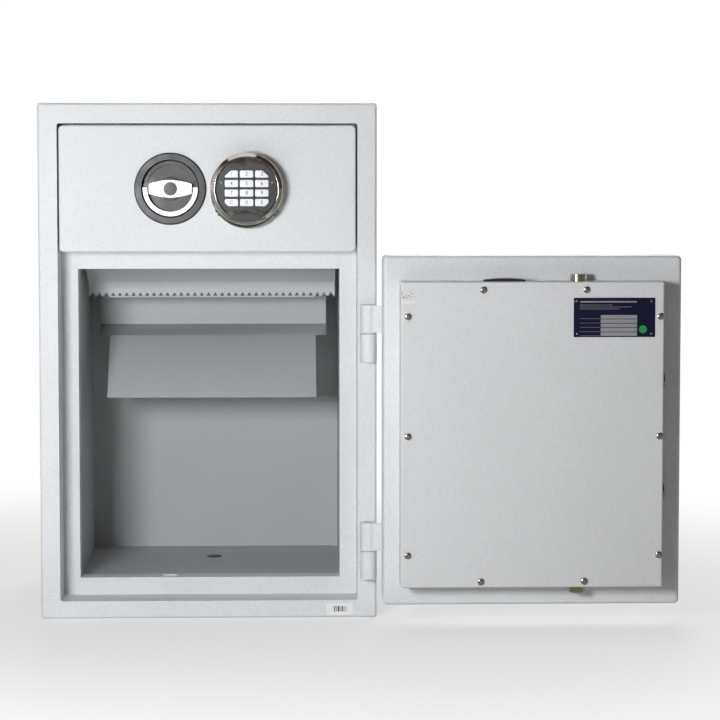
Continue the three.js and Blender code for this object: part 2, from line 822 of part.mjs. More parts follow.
function sideBoltBar() {
  const face = sideBoltTip + sideBoltLength;
  const [high, low] = sideBoltHeights();
  const upright = block([face, face + rodThickness],
    [boltAxis - sideBarDepth / 2, boltAxis + sideBarDepth / 2],
    [low - sideBarOverhang, high + sideBarOverhang]);
  const arm = block([face + rodThickness / 2, doorHandleX - camPinStart + rodEndInset],
    [boltAxis - rodThickness / 2, boltAxis + rodThickness / 2],
    [doorHandleZ - rodWidth / 2, doorHandleZ + rodWidth / 2]);
  return join(upright, arm, camPin(doorHandleX - camPinStart, doorHandleZ));
}

function boltGuide(axis, centre, from) {
  const [u, v] = centre;
  const half = guideSize / 2;
  const across = axis === 'x'
    ? rectangle(panBack, panBack + guideSize, v - half, v + half, 2)
    : rectangle(u - half, u + half, panBack, panBack + guideSize, 2);
  const eye = rod(axis, centre, from - 1, from + guideLength + 1, boltRadius + guideClearance);
  return cut(extrude(across, axis, from, from + guideLength, 0, 1), eye);
}

function lockCase() {
  const half = [lockCaseWidth / 2, lockCaseHeight / 2];
  const outline = rectangle(keyLockX - half[0], keyLockX + half[0],
    doorHandleZ - half[1], doorHandleZ + half[1], lockCaseCorner);
  const lid = rectangle(keyLockX - half[0] + lockCaseCorner, keyLockX + half[0] - lockCaseCorner,
    doorHandleZ - half[1] + lockCaseCorner, doorHandleZ + half[1] - lockCaseCorner, lockCaseCorner);
  const top = panBack + lockCaseDepth;
  return join(extrude(outline, 'y', panBack, top), extrude(lid, 'y', top - 1, top + 2, 0.5));
}

function boltworkCover() {
  const outline = rectangle(cover.left, cover.right, cover.bottom, cover.top, coverCorner);
  const rounded = extrude(outline, 'y', panBack - coverEdge, cover.back, coverEdge, 3);
  const keep = block([cover.left, cover.right], [panBack, cover.back], [cover.bottom, cover.top]);
  const hollow = block([cover.left + coverSheet, cover.right - coverSheet],
    [front, cover.back - coverSheet], [cover.bottom + coverSheet, cover.top - coverSheet]);
  const hole = boltRadius + boltHoleClearance;
  const sideHoles = sideBoltHeights().map((z) => rod('x', [boltAxis, z], cover.left - coverSheet,
    cover.left + 2 * coverSheet, hole, 0, 16));
  const endHoles = [cover.top, cover.bottom].map((z) => rod('z', [doorHandleX, boltAxis],
    z - 2 * coverSheet, z + 2 * coverSheet, hole, 0, 16));
  return cut(rounded.intersect(keep), hollow, ...sideHoles, ...endHoles, plugShank(coverPlugShank / 2));
}

function plugShank(reach) {
  const x = cover.right - coverPlugFromHingeSide;
  const middle = panBack + coverDepth / 2;
  const half = coverPlugShank / 2;
  return block([x - coverPlugWidth / 2 + half, x + coverPlugWidth / 2 - half],
    [middle - half, middle + half], [cover.top - coverSheet - reach, cover.top + coverSheet]);
}

// The arched plug that shuts the slot in the top of the cover
function coverSlotPlug() {
  const x = cover.right - coverPlugFromHingeSide;
  const middle = panBack + coverDepth / 2;
  const half = coverPlugWidth / 2;
  const rise = coverPlugHeight - coverPlugRim;
  const radius = (half * half + rise * rise) / (2 * rise);
  const reach = Math.asin(half / radius);
  const outline = new THREE.Shape();
  outline.moveTo(x - half, cover.top).lineTo(x + half, cover.top);
  outline.absarc(x, cover.top + coverPlugHeight - radius, radius,
    Math.PI / 2 - reach, Math.PI / 2 + reach);
  outline.closePath();
  const arch = extrude(outline, 'y', middle - coverPlugDepth / 2, middle + coverPlugDepth / 2, 0, 6);
  const gap = keyClearance;
  const shank = block([x - half + coverPlugShank / 2 + gap, x + half - coverPlugShank / 2 - gap],
    [middle - coverPlugShank / 2 + gap, middle + coverPlugShank / 2 - gap],
    [cover.top - 2 * coverSheet, cover.top + 1]);
  return join(arch, shank);
}

function keyEscutcheon() {
  const plate = rod('y', [keyLockX, doorHandleZ], front - escutcheonThickness, front,
    escutcheonRadius, castEdge);
  const through = [front - 2 * escutcheonThickness, front + escutcheonThickness];
  const eye = rod('y', [keyLockX, doorHandleZ], ...through, keyholeRadius - 1, 0, 16);
  const slit = block([keyLockX - 1.5, keyLockX + 1.5], through,
    [doorHandleZ - keyholeRadius - 3, doorHandleZ]);
  const pivot = rod('y', [keyLockX, doorHandleZ + flapPivotAbove], ...through,
    flapPinRadius + flapGap, 0, 16);
  return cut(plate, eye, slit, pivot);
}

function keyholeFlap() {
  const rear = front - escutcheonThickness - flapGap;
  const pivot = [keyLockX, doorHandleZ + flapPivotAbove];
  const outline = new THREE.Shape();
  const taper = 0.35;
  outline.absarc(pivot[0], pivot[1], flapRadius / 2, taper, Math.PI - taper);
  outline.absarc(keyLockX, doorHandleZ - 1, flapRadius, Math.PI - taper, 2 * Math.PI + taper);
  outline.closePath();
  const flap = extrude(outline, 'y', rear - flapThickness, rear, flapEdge, 6);
  return join(flap, rod('y', pivot, rear - 1, front - flapGap, flapPinRadius, 0, 16));
}

// Deposit drawer
function hopperTray() {
  const half = trayHalf;
  const floorFront = controlsZ - trayFrontBelowControls;
  const floorRear = dividerTop + trayRearAboveDivider;
  const floor = extrude(bentSheet([
    [trayBack, floorRear],
    [trayFront, floorFront],
    [trayFront, trayTop],
  ], traySheet), 'x', -half, half);
  const side = polygon([
    [panBack, floorFront],
    [trayFront, floorFront],
    [trayBack, floorRear],
    [trayBack, trayTop - trayCornerCut],
    [trayBack - trayCornerCut, trayTop],
    [panBack, trayTop],
  ]);
  const walls = [[-half, -half + traySheet], [half - traySheet, half]]
    .map((span) => extrude(side, 'x', ...span));
  const axis = controlsZ - runnerBelowControls;
  const runners = [-1, 1].map((hand) => block(
    [hand * (half - 1), hand * (half + runnerWidth)].sort((a, b) => a - b),
    [panBack, innerBack - runnerEndGap],
    [axis - runnerHeight / 2, axis + runnerHeight / 2],
  ));
  const keep = block([-half - runnerWidth, half + runnerWidth], [panBack, innerBack],
    [floorRear - traySheet, trayTop]);
  const whole = join(floor, ...walls, ...runners).intersect(keep);
  return cut(whole, spindleHole(drawerHandleX, controlsZ));
}

function drawerLockBox() {
  const half = lockBoxHalfWidth;
  const rear = trayFront + lockBoxDepth;
  const foot = controlsZ - lockBoxBelowControls;
  const box = extrude(rectangle(-half, half, foot, lockBoxTop, lockBoxCorner), 'y',
    trayFront - 2 * lockBoxEdge, rear, lockBoxEdge, 3);
  const keep = block([-half, half], [trayFront, rear], [foot, lockBoxTop]);
  const inset = lockBoxSheet + 1;
  const hollow = block([-half + inset, half - inset], [front, rear - lockBoxSheet],
    [foot + inset, lockBoxTop - inset]);
  return cut(box.intersect(keep), hollow, latchSlot(lockBoxTop - 2 * inset, lockBoxTop + inset));
}

function latchCam() {
  const from = trayFront + latchCamPlane;
  const centre = [drawerHandleX, controlsZ];
  const margin = THREE.MathUtils.degToRad(latchCamMargin);
  const sector = new THREE.Shape();
  sector.absarc(...centre, latchCamRadius, Math.PI / 2 - margin, Math.PI + margin);
  sector.lineTo(...centre);
  sector.closePath();
  const plate = join(extrude(sector, 'y', from, from + camThickness, 0, 6),
    rod('y', centre, from, from + camThickness, latchCamHub, 0, 24));
  const slot = extrude(spiralSlot(centre, Math.PI / 2, latchPinStart, latchThrow,
    2 * (latchPinRadius + camSlotClearance)), 'y', from - 1, from + camThickness + 1);
  return cut(plate, slot);
}

function drawerLatch() {
  const face = trayFront + latchPlane;
  const tip = openingTop - latchInset;
  const pinHeight = controlsZ + latchPinStart;
  const bar = block([drawerHandleX - latchWidth / 2, drawerHandleX + latchWidth / 2],
    [face, face + latchThickness], [pinHeight - latchBelowPin, tip]);
  const pin = rod('y', [drawerHandleX, pinHeight], trayFront + latchCamPlane - 1, face + 1,
    latchPinRadius, 0, 16);
  return join(bar, pin);
}

// Keypad: an eccentric housing, a chrome bezel and twelve keys in their wells
function keyOutline(column, row, grow) {
  const x = keypadX + (column - 1) * keyPitchX;
  const z = controlsZ + keysAboveCentre + (1.5 - row) * keyPitchZ;
  const [w, h] = [keyWidth / 2 + grow, keyHeight / 2 + grow];
  const corner = 1;
  const outerSide = column - 1;
  const cutTop = row === 0 && outerSide !== 0 ? topKeyCut : [corner, corner];
  const cutBottom = row === 3 && outerSide !== 0 ? bottomKeyCut : [corner, corner];
  const hand = outerSide === 0 ? 1 : outerSide;
  return polygon([
    [x + hand * w, z - h + cutBottom[1]],
    [x + hand * w, z + h - cutTop[1]],
    [x + hand * (w - cutTop[0]), z + h],
    [x - hand * (w - corner), z + h],
    [x - hand * w, z + h - corner],
    [x - hand * w, z - h + corner],
    [x - hand * (w - corner), z - h],
    [x + hand * (w - cutBottom[0]), z - h],
  ]);
}

function keypadKey(column, row) {
  const rear = front - keypadFaceProud - keyProud + keyThickness;
  return extrude(keyOutline(column, row, 0), 'y', rear - keyThickness, rear, keyEdge);
}

function keypadHousing() {
  const base = rod('y', [keypadX, controlsZ - keypadHousingDrop], front - keypadHousingDepth,
    front + keypadHousingEdge, keypadRadius, keypadHousingEdge, 28);
  const keep = block([keypadX - 2 * keypadRadius, keypadX + 2 * keypadRadius],
    [front - keypadHousingDepth, front],
    [controlsZ - 2 * keypadRadius, controlsZ + 2 * keypadRadius]);
  const drum = rod('y', [keypadX, controlsZ], front - keypadFaceProud,
    front - keypadHousingDepth + 1, keypadFaceRadius, 0, 32);
  const wells = [0, 1, 2, 3].flatMap((row) => [0, 1, 2].map((column) => extrude(
    keyOutline(column, row, keyClearance), 'y', front - keypadFaceProud - 1,
    front - keypadFaceProud + keyWellDepth)));
  return cut(join(base.intersect(keep), drum), ...wells);
}

function bezelInlay(up) {
  const level = up > 0 ? bezelTopInlay : bezelBottomInlay;
  const half = bezelInlayHalf;
  const rim = Math.acos(half / (bezelBore + 0.5));
  const outline = new THREE.Shape();
  const edge = (bezelBore + 0.5) * Math.sin(rim);
  outline.moveTo(keypadX - half, controlsZ + up * edge);
  outline.quadraticCurveTo(keypadX, controlsZ + up * (2 * level - edge + bezelInlayRise / 2),
    keypadX + half, controlsZ + up * edge);
  if (up > 0) outline.absarc(keypadX, controlsZ, bezelBore + 0.5, rim, Math.PI - rim);
  else outline.absarc(keypadX, controlsZ, bezelBore + 0.5, -rim, Math.PI + rim, true);
  outline.closePath();
  return extrude(outline, 'y', front - bezelInlayProud, front - keypadFaceProud, 0, 10);
}

function keypadBezel() {
  const rear = front - keypadHousingDepth;
  const ring = turned([
    [bezelBore, rear],
    [bezelBore, front - bezelInlayProud],
    [bezelBore + 0.8, front - bezelProud + 0.6],
    [bezelBore + 2.2, front - bezelProud],
    [keypadRadius - 2.6, front - bezelProud + 1.6],
    [keypadRadius - 0.6, front - bezelProud + 4.6],
    [keypadRadius, front - bezelProud + 8],
    [keypadRadius, rear],
  ], [keypadX, controlsZ], 36);
  return join(ring, bezelInlay(1), bezelInlay(-1));
}

// Assembly
function cabinetBody() {
  const group = new THREE.Group();
  group.add(
    mesh('outer_casing', outerCasing(), texturedPaint),
    mesh('barrier_filling', barrierFilling(), concrete),
    mesh('front_frame', frontFrame(), texturedPaint),
    mesh('divider_beam', dividerBeam(), texturedPaint),
    mesh('inner_liner', innerLiner(), texturedPaint),
    mesh('chute_plate', chutePlate(), texturedPaint),
    mesh('chute_stiffener', chuteStiffener(), texturedPaint),
    mesh('rear_baffle', rearBaffle(), texturedPaint),
    mesh('left_drawer_rail', drawerRail(-1), zincSteel),
    mesh('right_drawer_rail', drawerRail(1), zincSteel),
    mesh('upper_hinge_base', hingeBase(upperHinge), texturedPaint),
    mesh('lower_hinge_base', hingeBase(lowerHinge), texturedPaint),
  );
  return group;
}

function doorBody() {
  const centre = [doorHandleX, doorHandleZ];
  const [high, low] = sideBoltHeights();
  const camBack = boltAxis + rodThickness / 2 + camGap + camThickness;
  const sideGuide = cover.left + coverSheet + guideInset;
  const topGuide = cover.top - coverSheet - guideInset - guideLength;
  const bottomGuide = cover.bottom + coverSheet + guideInset;
  const group = new THREE.Group();
  group.add(
    mesh('door_face_plate', cut(frontPlate(door), handlePocket(...centre), keyholeBore()),
      texturedPaint),
    mesh('door_filling', cut(frontFilling(door), handlePocket(...centre), spindleHole(...centre),
      keyholeBore()), concrete),
    mesh('door_pan', cut(frontPan(door), spindleHole(...centre), keyholeBore()), texturedPaint),
    mesh('boltwork_cover', boltworkCover(), smoothPaint),
    mesh('cover_slot_plug', coverSlotPlug(), blackPlastic),
    mesh('upper_hinge_leaf', hingeLeaf(upperHinge), texturedPaint),
    mesh('lower_hinge_leaf', hingeLeaf(lowerHinge), texturedPaint),
    mesh('lock_case', lockCase(), zincSteel),
    mesh('top_bolt_guide', boltGuide('z', [doorHandleX, boltAxis], topGuide), zincSteel),
    mesh('bottom_bolt_guide', boltGuide('z', [doorHandleX, boltAxis], bottomGuide), zincSteel),
    mesh('upper_side_bolt_guide', boltGuide('x', [boltAxis, high], sideGuide), zincSteel),
    mesh('lower_side_bolt_guide', boltGuide('x', [boltAxis, low], sideGuide), zincSteel),
    mesh('key_escutcheon', keyEscutcheon(), satinSilver),
    mesh('keyhole_flap', keyholeFlap(), satinSilver),
    mesh('door_handle_dish', handleDish(...centre), blackPlastic),
    mesh('door_handle_rotor', handleRotor(...centre, camBack), blackPlastic),
    mesh('door_handle_grip', handleGrip(...centre), satinSilver),
    mesh('door_handle_bail', handleBail(...centre), satinSilver),
    mesh('bolt_cam', boltCam(), zincSteel),
    mesh('top_bolt', endBolt(1), chrome),
    mesh('bottom_bolt', endBolt(-1), chrome),
    mesh('side_bolt_bar', sideBoltBar(), zincSteel),
    mesh('upper_side_bolt', sideBolt(high), chrome),
    mesh('lower_side_bolt', sideBolt(low), chrome),
  );
  group.position.set(-hingeX, -hingeY, 0);
  const swung = new THREE.Group();
  swung.add(group);
  swung.position.set(hingeX, hingeY, 0);
  swung.rotation.z = Math.PI;
  return swung;
}

function drawerBody() {
  const centre = [drawerHandleX, controlsZ];
  const shaftEnd = trayFront + latchCamPlane + camThickness;
  const group = new THREE.Group();
  group.add(
    mesh('drawer_face_plate', cut(frontPlate(drawer), handlePocket(...centre)), texturedPaint),
    mesh('drawer_filling', cut(frontFilling(drawer), handlePocket(...centre),
      spindleHole(...centre)), concrete),
    mesh('drawer_pan', cut(frontPan(drawer), spindleHole(...centre)), texturedPaint),
    mesh('hopper_tray', hopperTray(), zincSteel),
    mesh('drawer_lock_box', drawerLockBox(), smoothPaint),
    mesh('drawer_handle_dish', handleDish(...centre), blackPlastic),
    mesh('drawer_handle_rotor', join(handleRotor(...centre, shaftEnd), latchCam()), blackPlastic),
    mesh('drawer_handle_grip', handleGrip(...centre), satinSilver),
    mesh('drawer_handle_bail', handleBail(...centre), satinSilver),
    mesh('drawer_latch', drawerLatch(), zincSteel),
    mesh('keypad_housing', keypadHousing(), satinSilver),
    mesh('keypad_bezel', keypadBezel(), chrome),
  );
  const labels = [['1', '2', '3'], ['4', '5', '6'], ['7', '8', '9'], ['clear', '0', 'enter']];
  labels.forEach((names, row) => names.forEach((label, column) => {
    group.add(mesh(`key_${label}`, keypadKey(column, row), keySilver));
  }));
  return group;
}

const safe = new THREE.Group();
safe.add(cabinetBody(), doorBody(), drawerBody());

export default safe;
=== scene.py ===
from math import asin, cos, pi, radians, sin
import bmesh
import bpy
from mathutils import Matrix, Vector


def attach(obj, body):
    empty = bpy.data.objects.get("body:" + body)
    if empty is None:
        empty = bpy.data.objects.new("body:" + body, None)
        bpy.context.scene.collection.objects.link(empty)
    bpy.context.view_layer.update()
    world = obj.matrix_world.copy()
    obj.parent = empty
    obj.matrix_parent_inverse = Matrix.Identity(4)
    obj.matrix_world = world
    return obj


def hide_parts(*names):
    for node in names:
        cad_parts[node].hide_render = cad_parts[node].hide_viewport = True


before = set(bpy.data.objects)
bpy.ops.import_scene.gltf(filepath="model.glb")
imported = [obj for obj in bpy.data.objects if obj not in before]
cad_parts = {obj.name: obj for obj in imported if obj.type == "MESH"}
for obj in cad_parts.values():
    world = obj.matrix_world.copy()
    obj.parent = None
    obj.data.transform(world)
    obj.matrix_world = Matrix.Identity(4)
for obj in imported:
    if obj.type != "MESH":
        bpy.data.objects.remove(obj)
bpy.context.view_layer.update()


# The outer casing is a box of 3 mm steel sheet with folded and welded edges. It is sprayed and
# baked in light grey powder coat, so a fine orange peel breaks up the light and rounds each edge.
mm = 0.001


def linear(colour):
    """The linear values of a colour that is written as sRGB hex"""
    parts = [int(colour[i:i + 2], 16) / 255 for i in (1, 3, 5)]
    return [c / 12.92 if c <= 0.04045 else ((c + 0.055) / 1.055) ** 2.4 for c in parts] + [1.0]


def add(tree, kind, inputs=None, **settings):
    """A node with its settings, and its inputs set to a value or linked to an output"""
    node = tree.nodes.new("ShaderNode" + kind)
    for name, value in settings.items():
        setattr(node, name, value)
    for name, value in (inputs or {}).items():
        if isinstance(value, bpy.types.NodeSocket):
            tree.links.new(value, node.inputs[name])
        else:
            node.inputs[name].default_value = value
    return node


def new_finish(name, sockets):
    """A material, its node tree and shader, and the coordinates of the object that it is on"""
    material = bpy.data.materials.new(name)
    material.use_nodes = True
    tree = material.node_tree
    tree.nodes.clear()
    shader = add(tree, "BsdfPrincipled", sockets)
    add(tree, "OutputMaterial", {"Surface": shader.outputs[0]})
    return material, tree, shader, add(tree, "TexCoord").outputs["Object"]


def powder_coat(name, light, dark, peel, depth, roughness):
    """Baked paint between two near shades, its orange peel this wide and deep in mm"""
    material, tree, shader, place = new_finish(name, {"Specular IOR Level": 0.45})
    lumps = add(tree, "TexNoise", {"Vector": place, "Scale": 1 / (peel * mm), "Detail": 2.5,
                                   "Roughness": 0.6}).outputs[0]
    cloud = add(tree, "TexNoise", {"Vector": place, "Scale": 1 / (160 * mm), "Detail": 1.0}).outputs[0]
    mottle = add(tree, "Math", {0: lumps, 1: 0.8, 2: -0.4}, operation="MULTIPLY_ADD").outputs[0]
    faint = add(tree, "Math", {0: cloud, 1: 0.3, 2: 0.35}, operation="MULTIPLY_ADD").outputs[0]
    shade = add(tree, "Math", {0: mottle, 1: faint}, operation="ADD")
    spread = add(tree, "MapRange", {"Value": shade.outputs[0], "From Min": 0.3, "From Max": 0.7})
    tint = add(tree, "Mix", {0: spread.outputs[0], 6: linear(dark), 7: linear(light)},
               data_type="RGBA")
    tree.links.new(tint.outputs[2], shader.inputs["Base Color"])
    gloss = add(tree, "MapRange", {"Value": lumps, "From Min": 0.3, "From Max": 0.7,
                                   "To Min": roughness - 0.06, "To Max": roughness + 0.06})
    tree.links.new(gloss.outputs[0], shader.inputs["Roughness"])
    relief = add(tree, "Bump", {"Height": lumps, "Strength": 1.0, "Distance": depth * mm})
    tree.links.new(relief.outputs[0], shader.inputs["Normal"])
    return material


def merged(node):
    """A copy of a CAD sheet, its loose triangles merged into whole faces"""
    bm = bmesh.new()
    bm.from_mesh(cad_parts[node].data)
    bmesh.ops.remove_doubles(bm, verts=bm.verts, dist=0.001 * mm)
    bmesh.ops.dissolve_limit(bm, angle_limit=radians(0.5), verts=bm.verts, edges=bm.edges)
    return bm


def soften(bm, radius, segments=2, steeper=40):
    """Rounds each edge that is steeper than this many degrees, by a radius in mm"""
    edges = [e for e in bm.edges
             if len(e.link_faces) == 2 and e.calc_face_angle() > radians(steeper)]
    bmesh.ops.bevel(bm, geom=edges, offset=radius * mm, segments=segments, profile=0.5,
                    affect="EDGES", material=-1)
    return bm


def show(name, bm, body, material, stands_for=()):
    """Puts a finished shape on its body, shaded smooth except at its sharp edges"""
    for face in bm.faces:
        face.smooth = True
    for edge in bm.edges:
        edge.smooth = len(edge.link_faces) == 2 and edge.calc_face_angle() < radians(38)
    mesh = bpy.data.meshes.new(name)
    bm.to_mesh(mesh)
    bm.free()
    mesh.materials.append(material)
    piece = bpy.data.objects.new(name, mesh)
    bpy.context.scene.collection.objects.link(piece)
    even = piece.modifiers.new("even_shading", "WEIGHTED_NORMAL")
    even.keep_sharp = True
    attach(piece, body)
    if stands_for:
        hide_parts(*stands_for)
    return piece


# The peel is drawn at 2.2 mm, a little coarser than real, so that it shows at this distance
cabinet_paint = powder_coat("light_grey_powder_coat", "#E6E8EA", "#D5D8DA", 2.2, 0.16, 0.5)
show("outer_casing_sheet", soften(merged("outer_casing"), 0.5), "cabinet", cabinet_paint,
     ["outer_casing"])


# Concrete is cast between the casing and the liner and inside both fronts, against fire and
# drills. It is never seen in use, so it has the plain look of cement with small voids and grit.
concrete, tree, shader, place = new_finish("cast_concrete", {"Roughness": 0.95})
voids = add(tree, "TexVoronoi", {"Vector": place, "Scale": 1 / (9 * mm)}).outputs[0]
grit = add(tree, "TexNoise", {"Vector": place, "Scale": 1 / (3 * mm), "Detail": 5.0}).outputs[0]
cement = add(tree, "Mix", {0: grit, 6: linear("#7F7E7A"), 7: linear("#B4B2AC")}, data_type="RGBA")
tree.links.new(cement.outputs[2], shader.inputs["Base Color"])
pits = add(tree, "Math", {0: voids, 1: grit}, operation="MULTIPLY")
cast = add(tree, "Bump", {"Height": pits.outputs[0], "Strength": 0.8, "Distance": 0.6 * mm})
tree.links.new(cast.outputs[0], shader.inputs["Normal"])


def coat(material, *nodes):
    """Gives CAD nodes whose shape is right their material"""
    for node in nodes:
        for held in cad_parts[node].material_slots:
            held.material = material


coat(concrete, "barrier_filling", "door_filling", "drawer_filling")


# The frame that both fronts close against is bent from 4 mm sheet and welded into the casing,
# and a channel beam crosses it between drawer and door. Both are coated with the cabinet.
show("front_frame_sheet", soften(merged("front_frame"), 0.6), "cabinet", cabinet_paint,
     ["front_frame"])
beam = merged("divider_beam")
long_edges = [e for e in beam.edges if e.calc_length() > 300 * mm]
bmesh.ops.bevel(beam, geom=long_edges, offset=0.6 * mm, segments=2, profile=0.5,
                affect="EDGES", material=-1)
show("divider_beam_channel", beam, "cabinet", cabinet_paint, ["divider_beam"])


# The liner is a folded tub of 2.5 mm sheet with a flange behind the frame. It is coated with the
# chute and the baffle in a greyer tone than the cabinet's outside, so the inside reads darker.
inner_paint = powder_coat("grey_inner_paint", "#C2C4C5", "#B6B8BA", 2.2, 0.12, 0.5)
show("inner_liner_tub", soften(merged("inner_liner"), 0.5), "cabinet", inner_paint,
     ["inner_liner"])


# The chute below the drawer is one bent sheet with a punched row of teeth, held straight by a flat
# strip behind them. Above its lower edge the strip is painted dark grey as painted shade, so that the
# notches between the teeth read shaded. The baffle behind hangs from the ceiling and is coated.
def plate(outline, near, far, soft=0.0, segments=3):
    """A plate cut to an outline of (x, z) in mm, from near to far along Y, its edges rounded"""
    bm = bmesh.new()
    face = bm.faces.new([bm.verts.new((x * mm, near * mm, z * mm)) for x, z in outline])
    grown = bmesh.ops.extrude_face_region(bm, geom=[face])["geom"]
    bmesh.ops.translate(bm, verts=[v for v in grown if isinstance(v, bmesh.types.BMVert)],
                        vec=(0, (far - near) * mm, 0))
    bmesh.ops.recalc_face_normals(bm, faces=bm.faces)
    return soften(bm, soft, segments) if soft else bm


def rectangle(x0, x1, z0, z1):
    return [(x0, z0), (x1, z0), (x1, z1), (x0, z1)]


chute = merged("chute_plate")
bends = [e for e in chute.edges
         if e.calc_length() > 300 * mm and radians(8) < e.calc_face_angle(0) < radians(80)]
bmesh.ops.bevel(chute, geom=bends, offset=8 * mm, segments=8, profile=0.5, affect="EDGES",
                material=-1)
show("chute_plate_bent", chute, "cabinet", inner_paint, ["chute_plate"])

# Painted shade: a dark grey coat stands in for the shadow of the teeth on the strip behind them
painted_shade_coat = powder_coat("painted_notch_shade", "#66665C", "#58584F", 2.2, 0.1, 0.6)
strip_half, strip_low, strip_high = 148, 432, 449
strip_faces = (-13, -11)
pale_up_to = 434.2
pale_edge = rectangle(-strip_half, strip_half, strip_low, pale_up_to)
painted_shade_area = rectangle(-strip_half, strip_half, pale_up_to, strip_high)
show("chute_stiffener_strip", plate(pale_edge, *strip_faces, 0.3), "cabinet", inner_paint,
     ["chute_stiffener"])
show("chute_stiffener_painted_shade", plate(painted_shade_area, *strip_faces), "cabinet", painted_shade_coat)

show("rear_baffle_bent", soften(merged("rear_baffle"), 0.25), "cabinet", inner_paint,
     ["rear_baffle"])


# The drawer runs on two bent channels of galvanised sheet, whose zinc shows soft grey spangles
# and a dull shine. Brackets, guides and other inner parts have the same plating.
zinc, tree, shader, place = new_finish("zinc_plated_steel", {"Metallic": 0.9})
spangle = add(tree, "TexVoronoi", {"Vector": place, "Scale": 1 / (7 * mm)})
split = add(tree, "SeparateColor", {"Color": spangle.outputs[1]})
plating = add(tree, "Mix", {0: split.outputs[0], 6: linear("#A7A9AC"), 7: linear("#C6C8CB")},
              data_type="RGBA")
tree.links.new(plating.outputs[2], shader.inputs["Base Color"])
dull = add(tree, "MapRange", {"Value": split.outputs[1], "To Min": 0.32, "To Max": 0.5})
tree.links.new(dull.outputs[0], shader.inputs["Roughness"])
drawn = add(tree, "TexNoise", {"Vector": place, "Scale": 1 / (1.2 * mm), "Detail": 3.0})
marks = add(tree, "Bump", {"Height": drawn.outputs[0], "Strength": 0.5, "Distance": 0.03 * mm})
tree.links.new(marks.outputs[0], shader.inputs["Normal"])
coat(zinc, "left_drawer_rail", "right_drawer_rail", "lock_case", "top_bolt_guide",
     "bottom_bolt_guide", "upper_side_bolt_guide", "lower_side_bolt_guide", "bolt_cam",
     "side_bolt_bar")


# Each hinge is a pair of turned steel knuckles, 22.5 mm thick. The lower one is welded to the
# cabinet with its pin, the upper one to the door by a strap, and the door lifts off upwards.
front = -215
hinge_x, hinge_y = 218.5, -226.5
knuckle_radius = 11.25
knuckle_length = 39
pin_radius, pin_bore = 6, 6.4
opened =Matrix.Translation((2 * hinge_x * mm, 2 * hinge_y * mm, 0)) @ Matrix.Rotation(pi, 4, "Z")


def turned(profile, soft=0.0, steps=96):
    """A body turned about Z from its half profile of (radius, height) in mm"""
    bm = bmesh.new()
    bm.faces.new([bm.verts.new((r * mm, 0, z * mm)) for r, z in profile])
    if soft:
        rim = [v for v in bm.verts if v.co.x > 0.01 * mm]
        bmesh.ops.bevel(bm, geom=rim, offset=soft * mm, segments=3, profile=0.5,
                        affect="VERTICES", material=-1, clamp_overlap=True)
    bmesh.ops.delete(bm, geom=bm.faces[:], context="FACES_ONLY")
    axis = [e for e in bm.edges if max(v.co.x for v in e.verts) < 0.005 * mm]
    bmesh.ops.delete(bm, geom=axis, context="EDGES")
    bmesh.ops.spin(bm, geom=bm.verts[:] + bm.edges[:], cent=(0, 0, 0), axis=(0, 0, 1),
                   angle=2 * pi, steps=steps, use_merge=True)
    bmesh.ops.remove_doubles(bm, verts=bm.verts, dist=0.0005 * mm)
    bmesh.ops.recalc_face_normals(bm, faces=bm.faces)
    return bm


def moved(bm, place=(0, 0, 0), turn=Matrix()):
    """Turns a shape and then moves it by (x, y, z) in mm"""
    bmesh.ops.transform(bm, matrix=Matrix.Translation([c * mm for c in place]) @ turn,
                        verts=bm.verts)
    return bm


def together(*parts):
    """Several shapes as the one mesh of a piece"""
    whole = bmesh.new()
    for part in parts:
        held = bpy.data.meshes.new("held")
        part.to_mesh(held)
        part.free()
        whole.from_mesh(held)
        bpy.data.meshes.remove(held)
    return whole


for which, split_height in (("upper", 392.5), ("lower", 94.5)):
    top = split_height - 0.25
    knuckle = turned([(0, top - knuckle_length), (knuckle_radius, top - knuckle_length),
                      (knuckle_radius, top), (0, top)], 0.9)
    pin = turned([(0, top - 1), (pin_radius, top - 1), (pin_radius, top + 30), (0, top + 30)],
                 0.9, 48)
    foot = plate(rectangle(-7, 7, top - knuckle_length + 1, top - 1), hinge_y, front)
    show(which + "_hinge_base_welded", together(moved(knuckle, (hinge_x, hinge_y, 0)),
         moved(pin, (hinge_x, hinge_y, 0)), moved(foot, (hinge_x, 0, 0))), "cabinet",
         cabinet_paint, [which + "_hinge_base"])
    low = split_height + 0.25
    knuckle = turned([(pin_bore, low), (knuckle_radius, low),
                      (knuckle_radius, low + knuckle_length), (0, low + knuckle_length),
                      (0, low + 31), (pin_bore, low + 31)], 0.9)
    strap = plate([(161, -front), (161, 221), (201, 222.5), (212.9, 232.1), (218.5, 226.5),
                   (212.9, 216.5), (198.3, 216.5), (198.3, 215)],
                  low + 1, low + knuckle_length - 1, 0.4, 2)
    strap = moved(strap, turn=Matrix.Rotation(pi / 2, 4, "X"))
    show(which + "_hinge_leaf_welded",
         moved(together(moved(knuckle, (hinge_x, hinge_y, 0)), strap), turn=opened), "door",
         cabinet_paint, [which + "_hinge_leaf"])


# The door is a bent pan filled with concrete behind a face plate, with rounded folds and corners,
# coated with the cabinet. It hangs open, so its inner side faces the camera.
for node in ("door_pan", "door_face_plate"):
    show(node + "_bent", soften(merged(node), 0.4), "door", cabinet_paint, [node])


# The cover over the boltwork is a folded sheet tray. Its paint lies smoother than the cabinet's
# and a touch darker, as on thin sheet that was sprayed flat.
cover_paint = powder_coat("smooth_grey_paint", "#DCDDDE", "#D3D4D5", 3.4, 0.05, 0.42)
cover_left, cover_right = 257.25, 606
cover_low, cover_top = 60.25, 467
cover_front, cover_back = -338, -292
cover_sheet = 2
handle_x, bolt_y = -57.5, -142
bolt_x_open, bolt_y_open = 2 * hinge_x - handle_x, 2 * hinge_y - bolt_y
lower_bolt_z, upper_bolt_z = 186, 334
bolt_hole_radius = 12.7
along_x = Matrix.Rotation(pi / 2, 4, "Y")


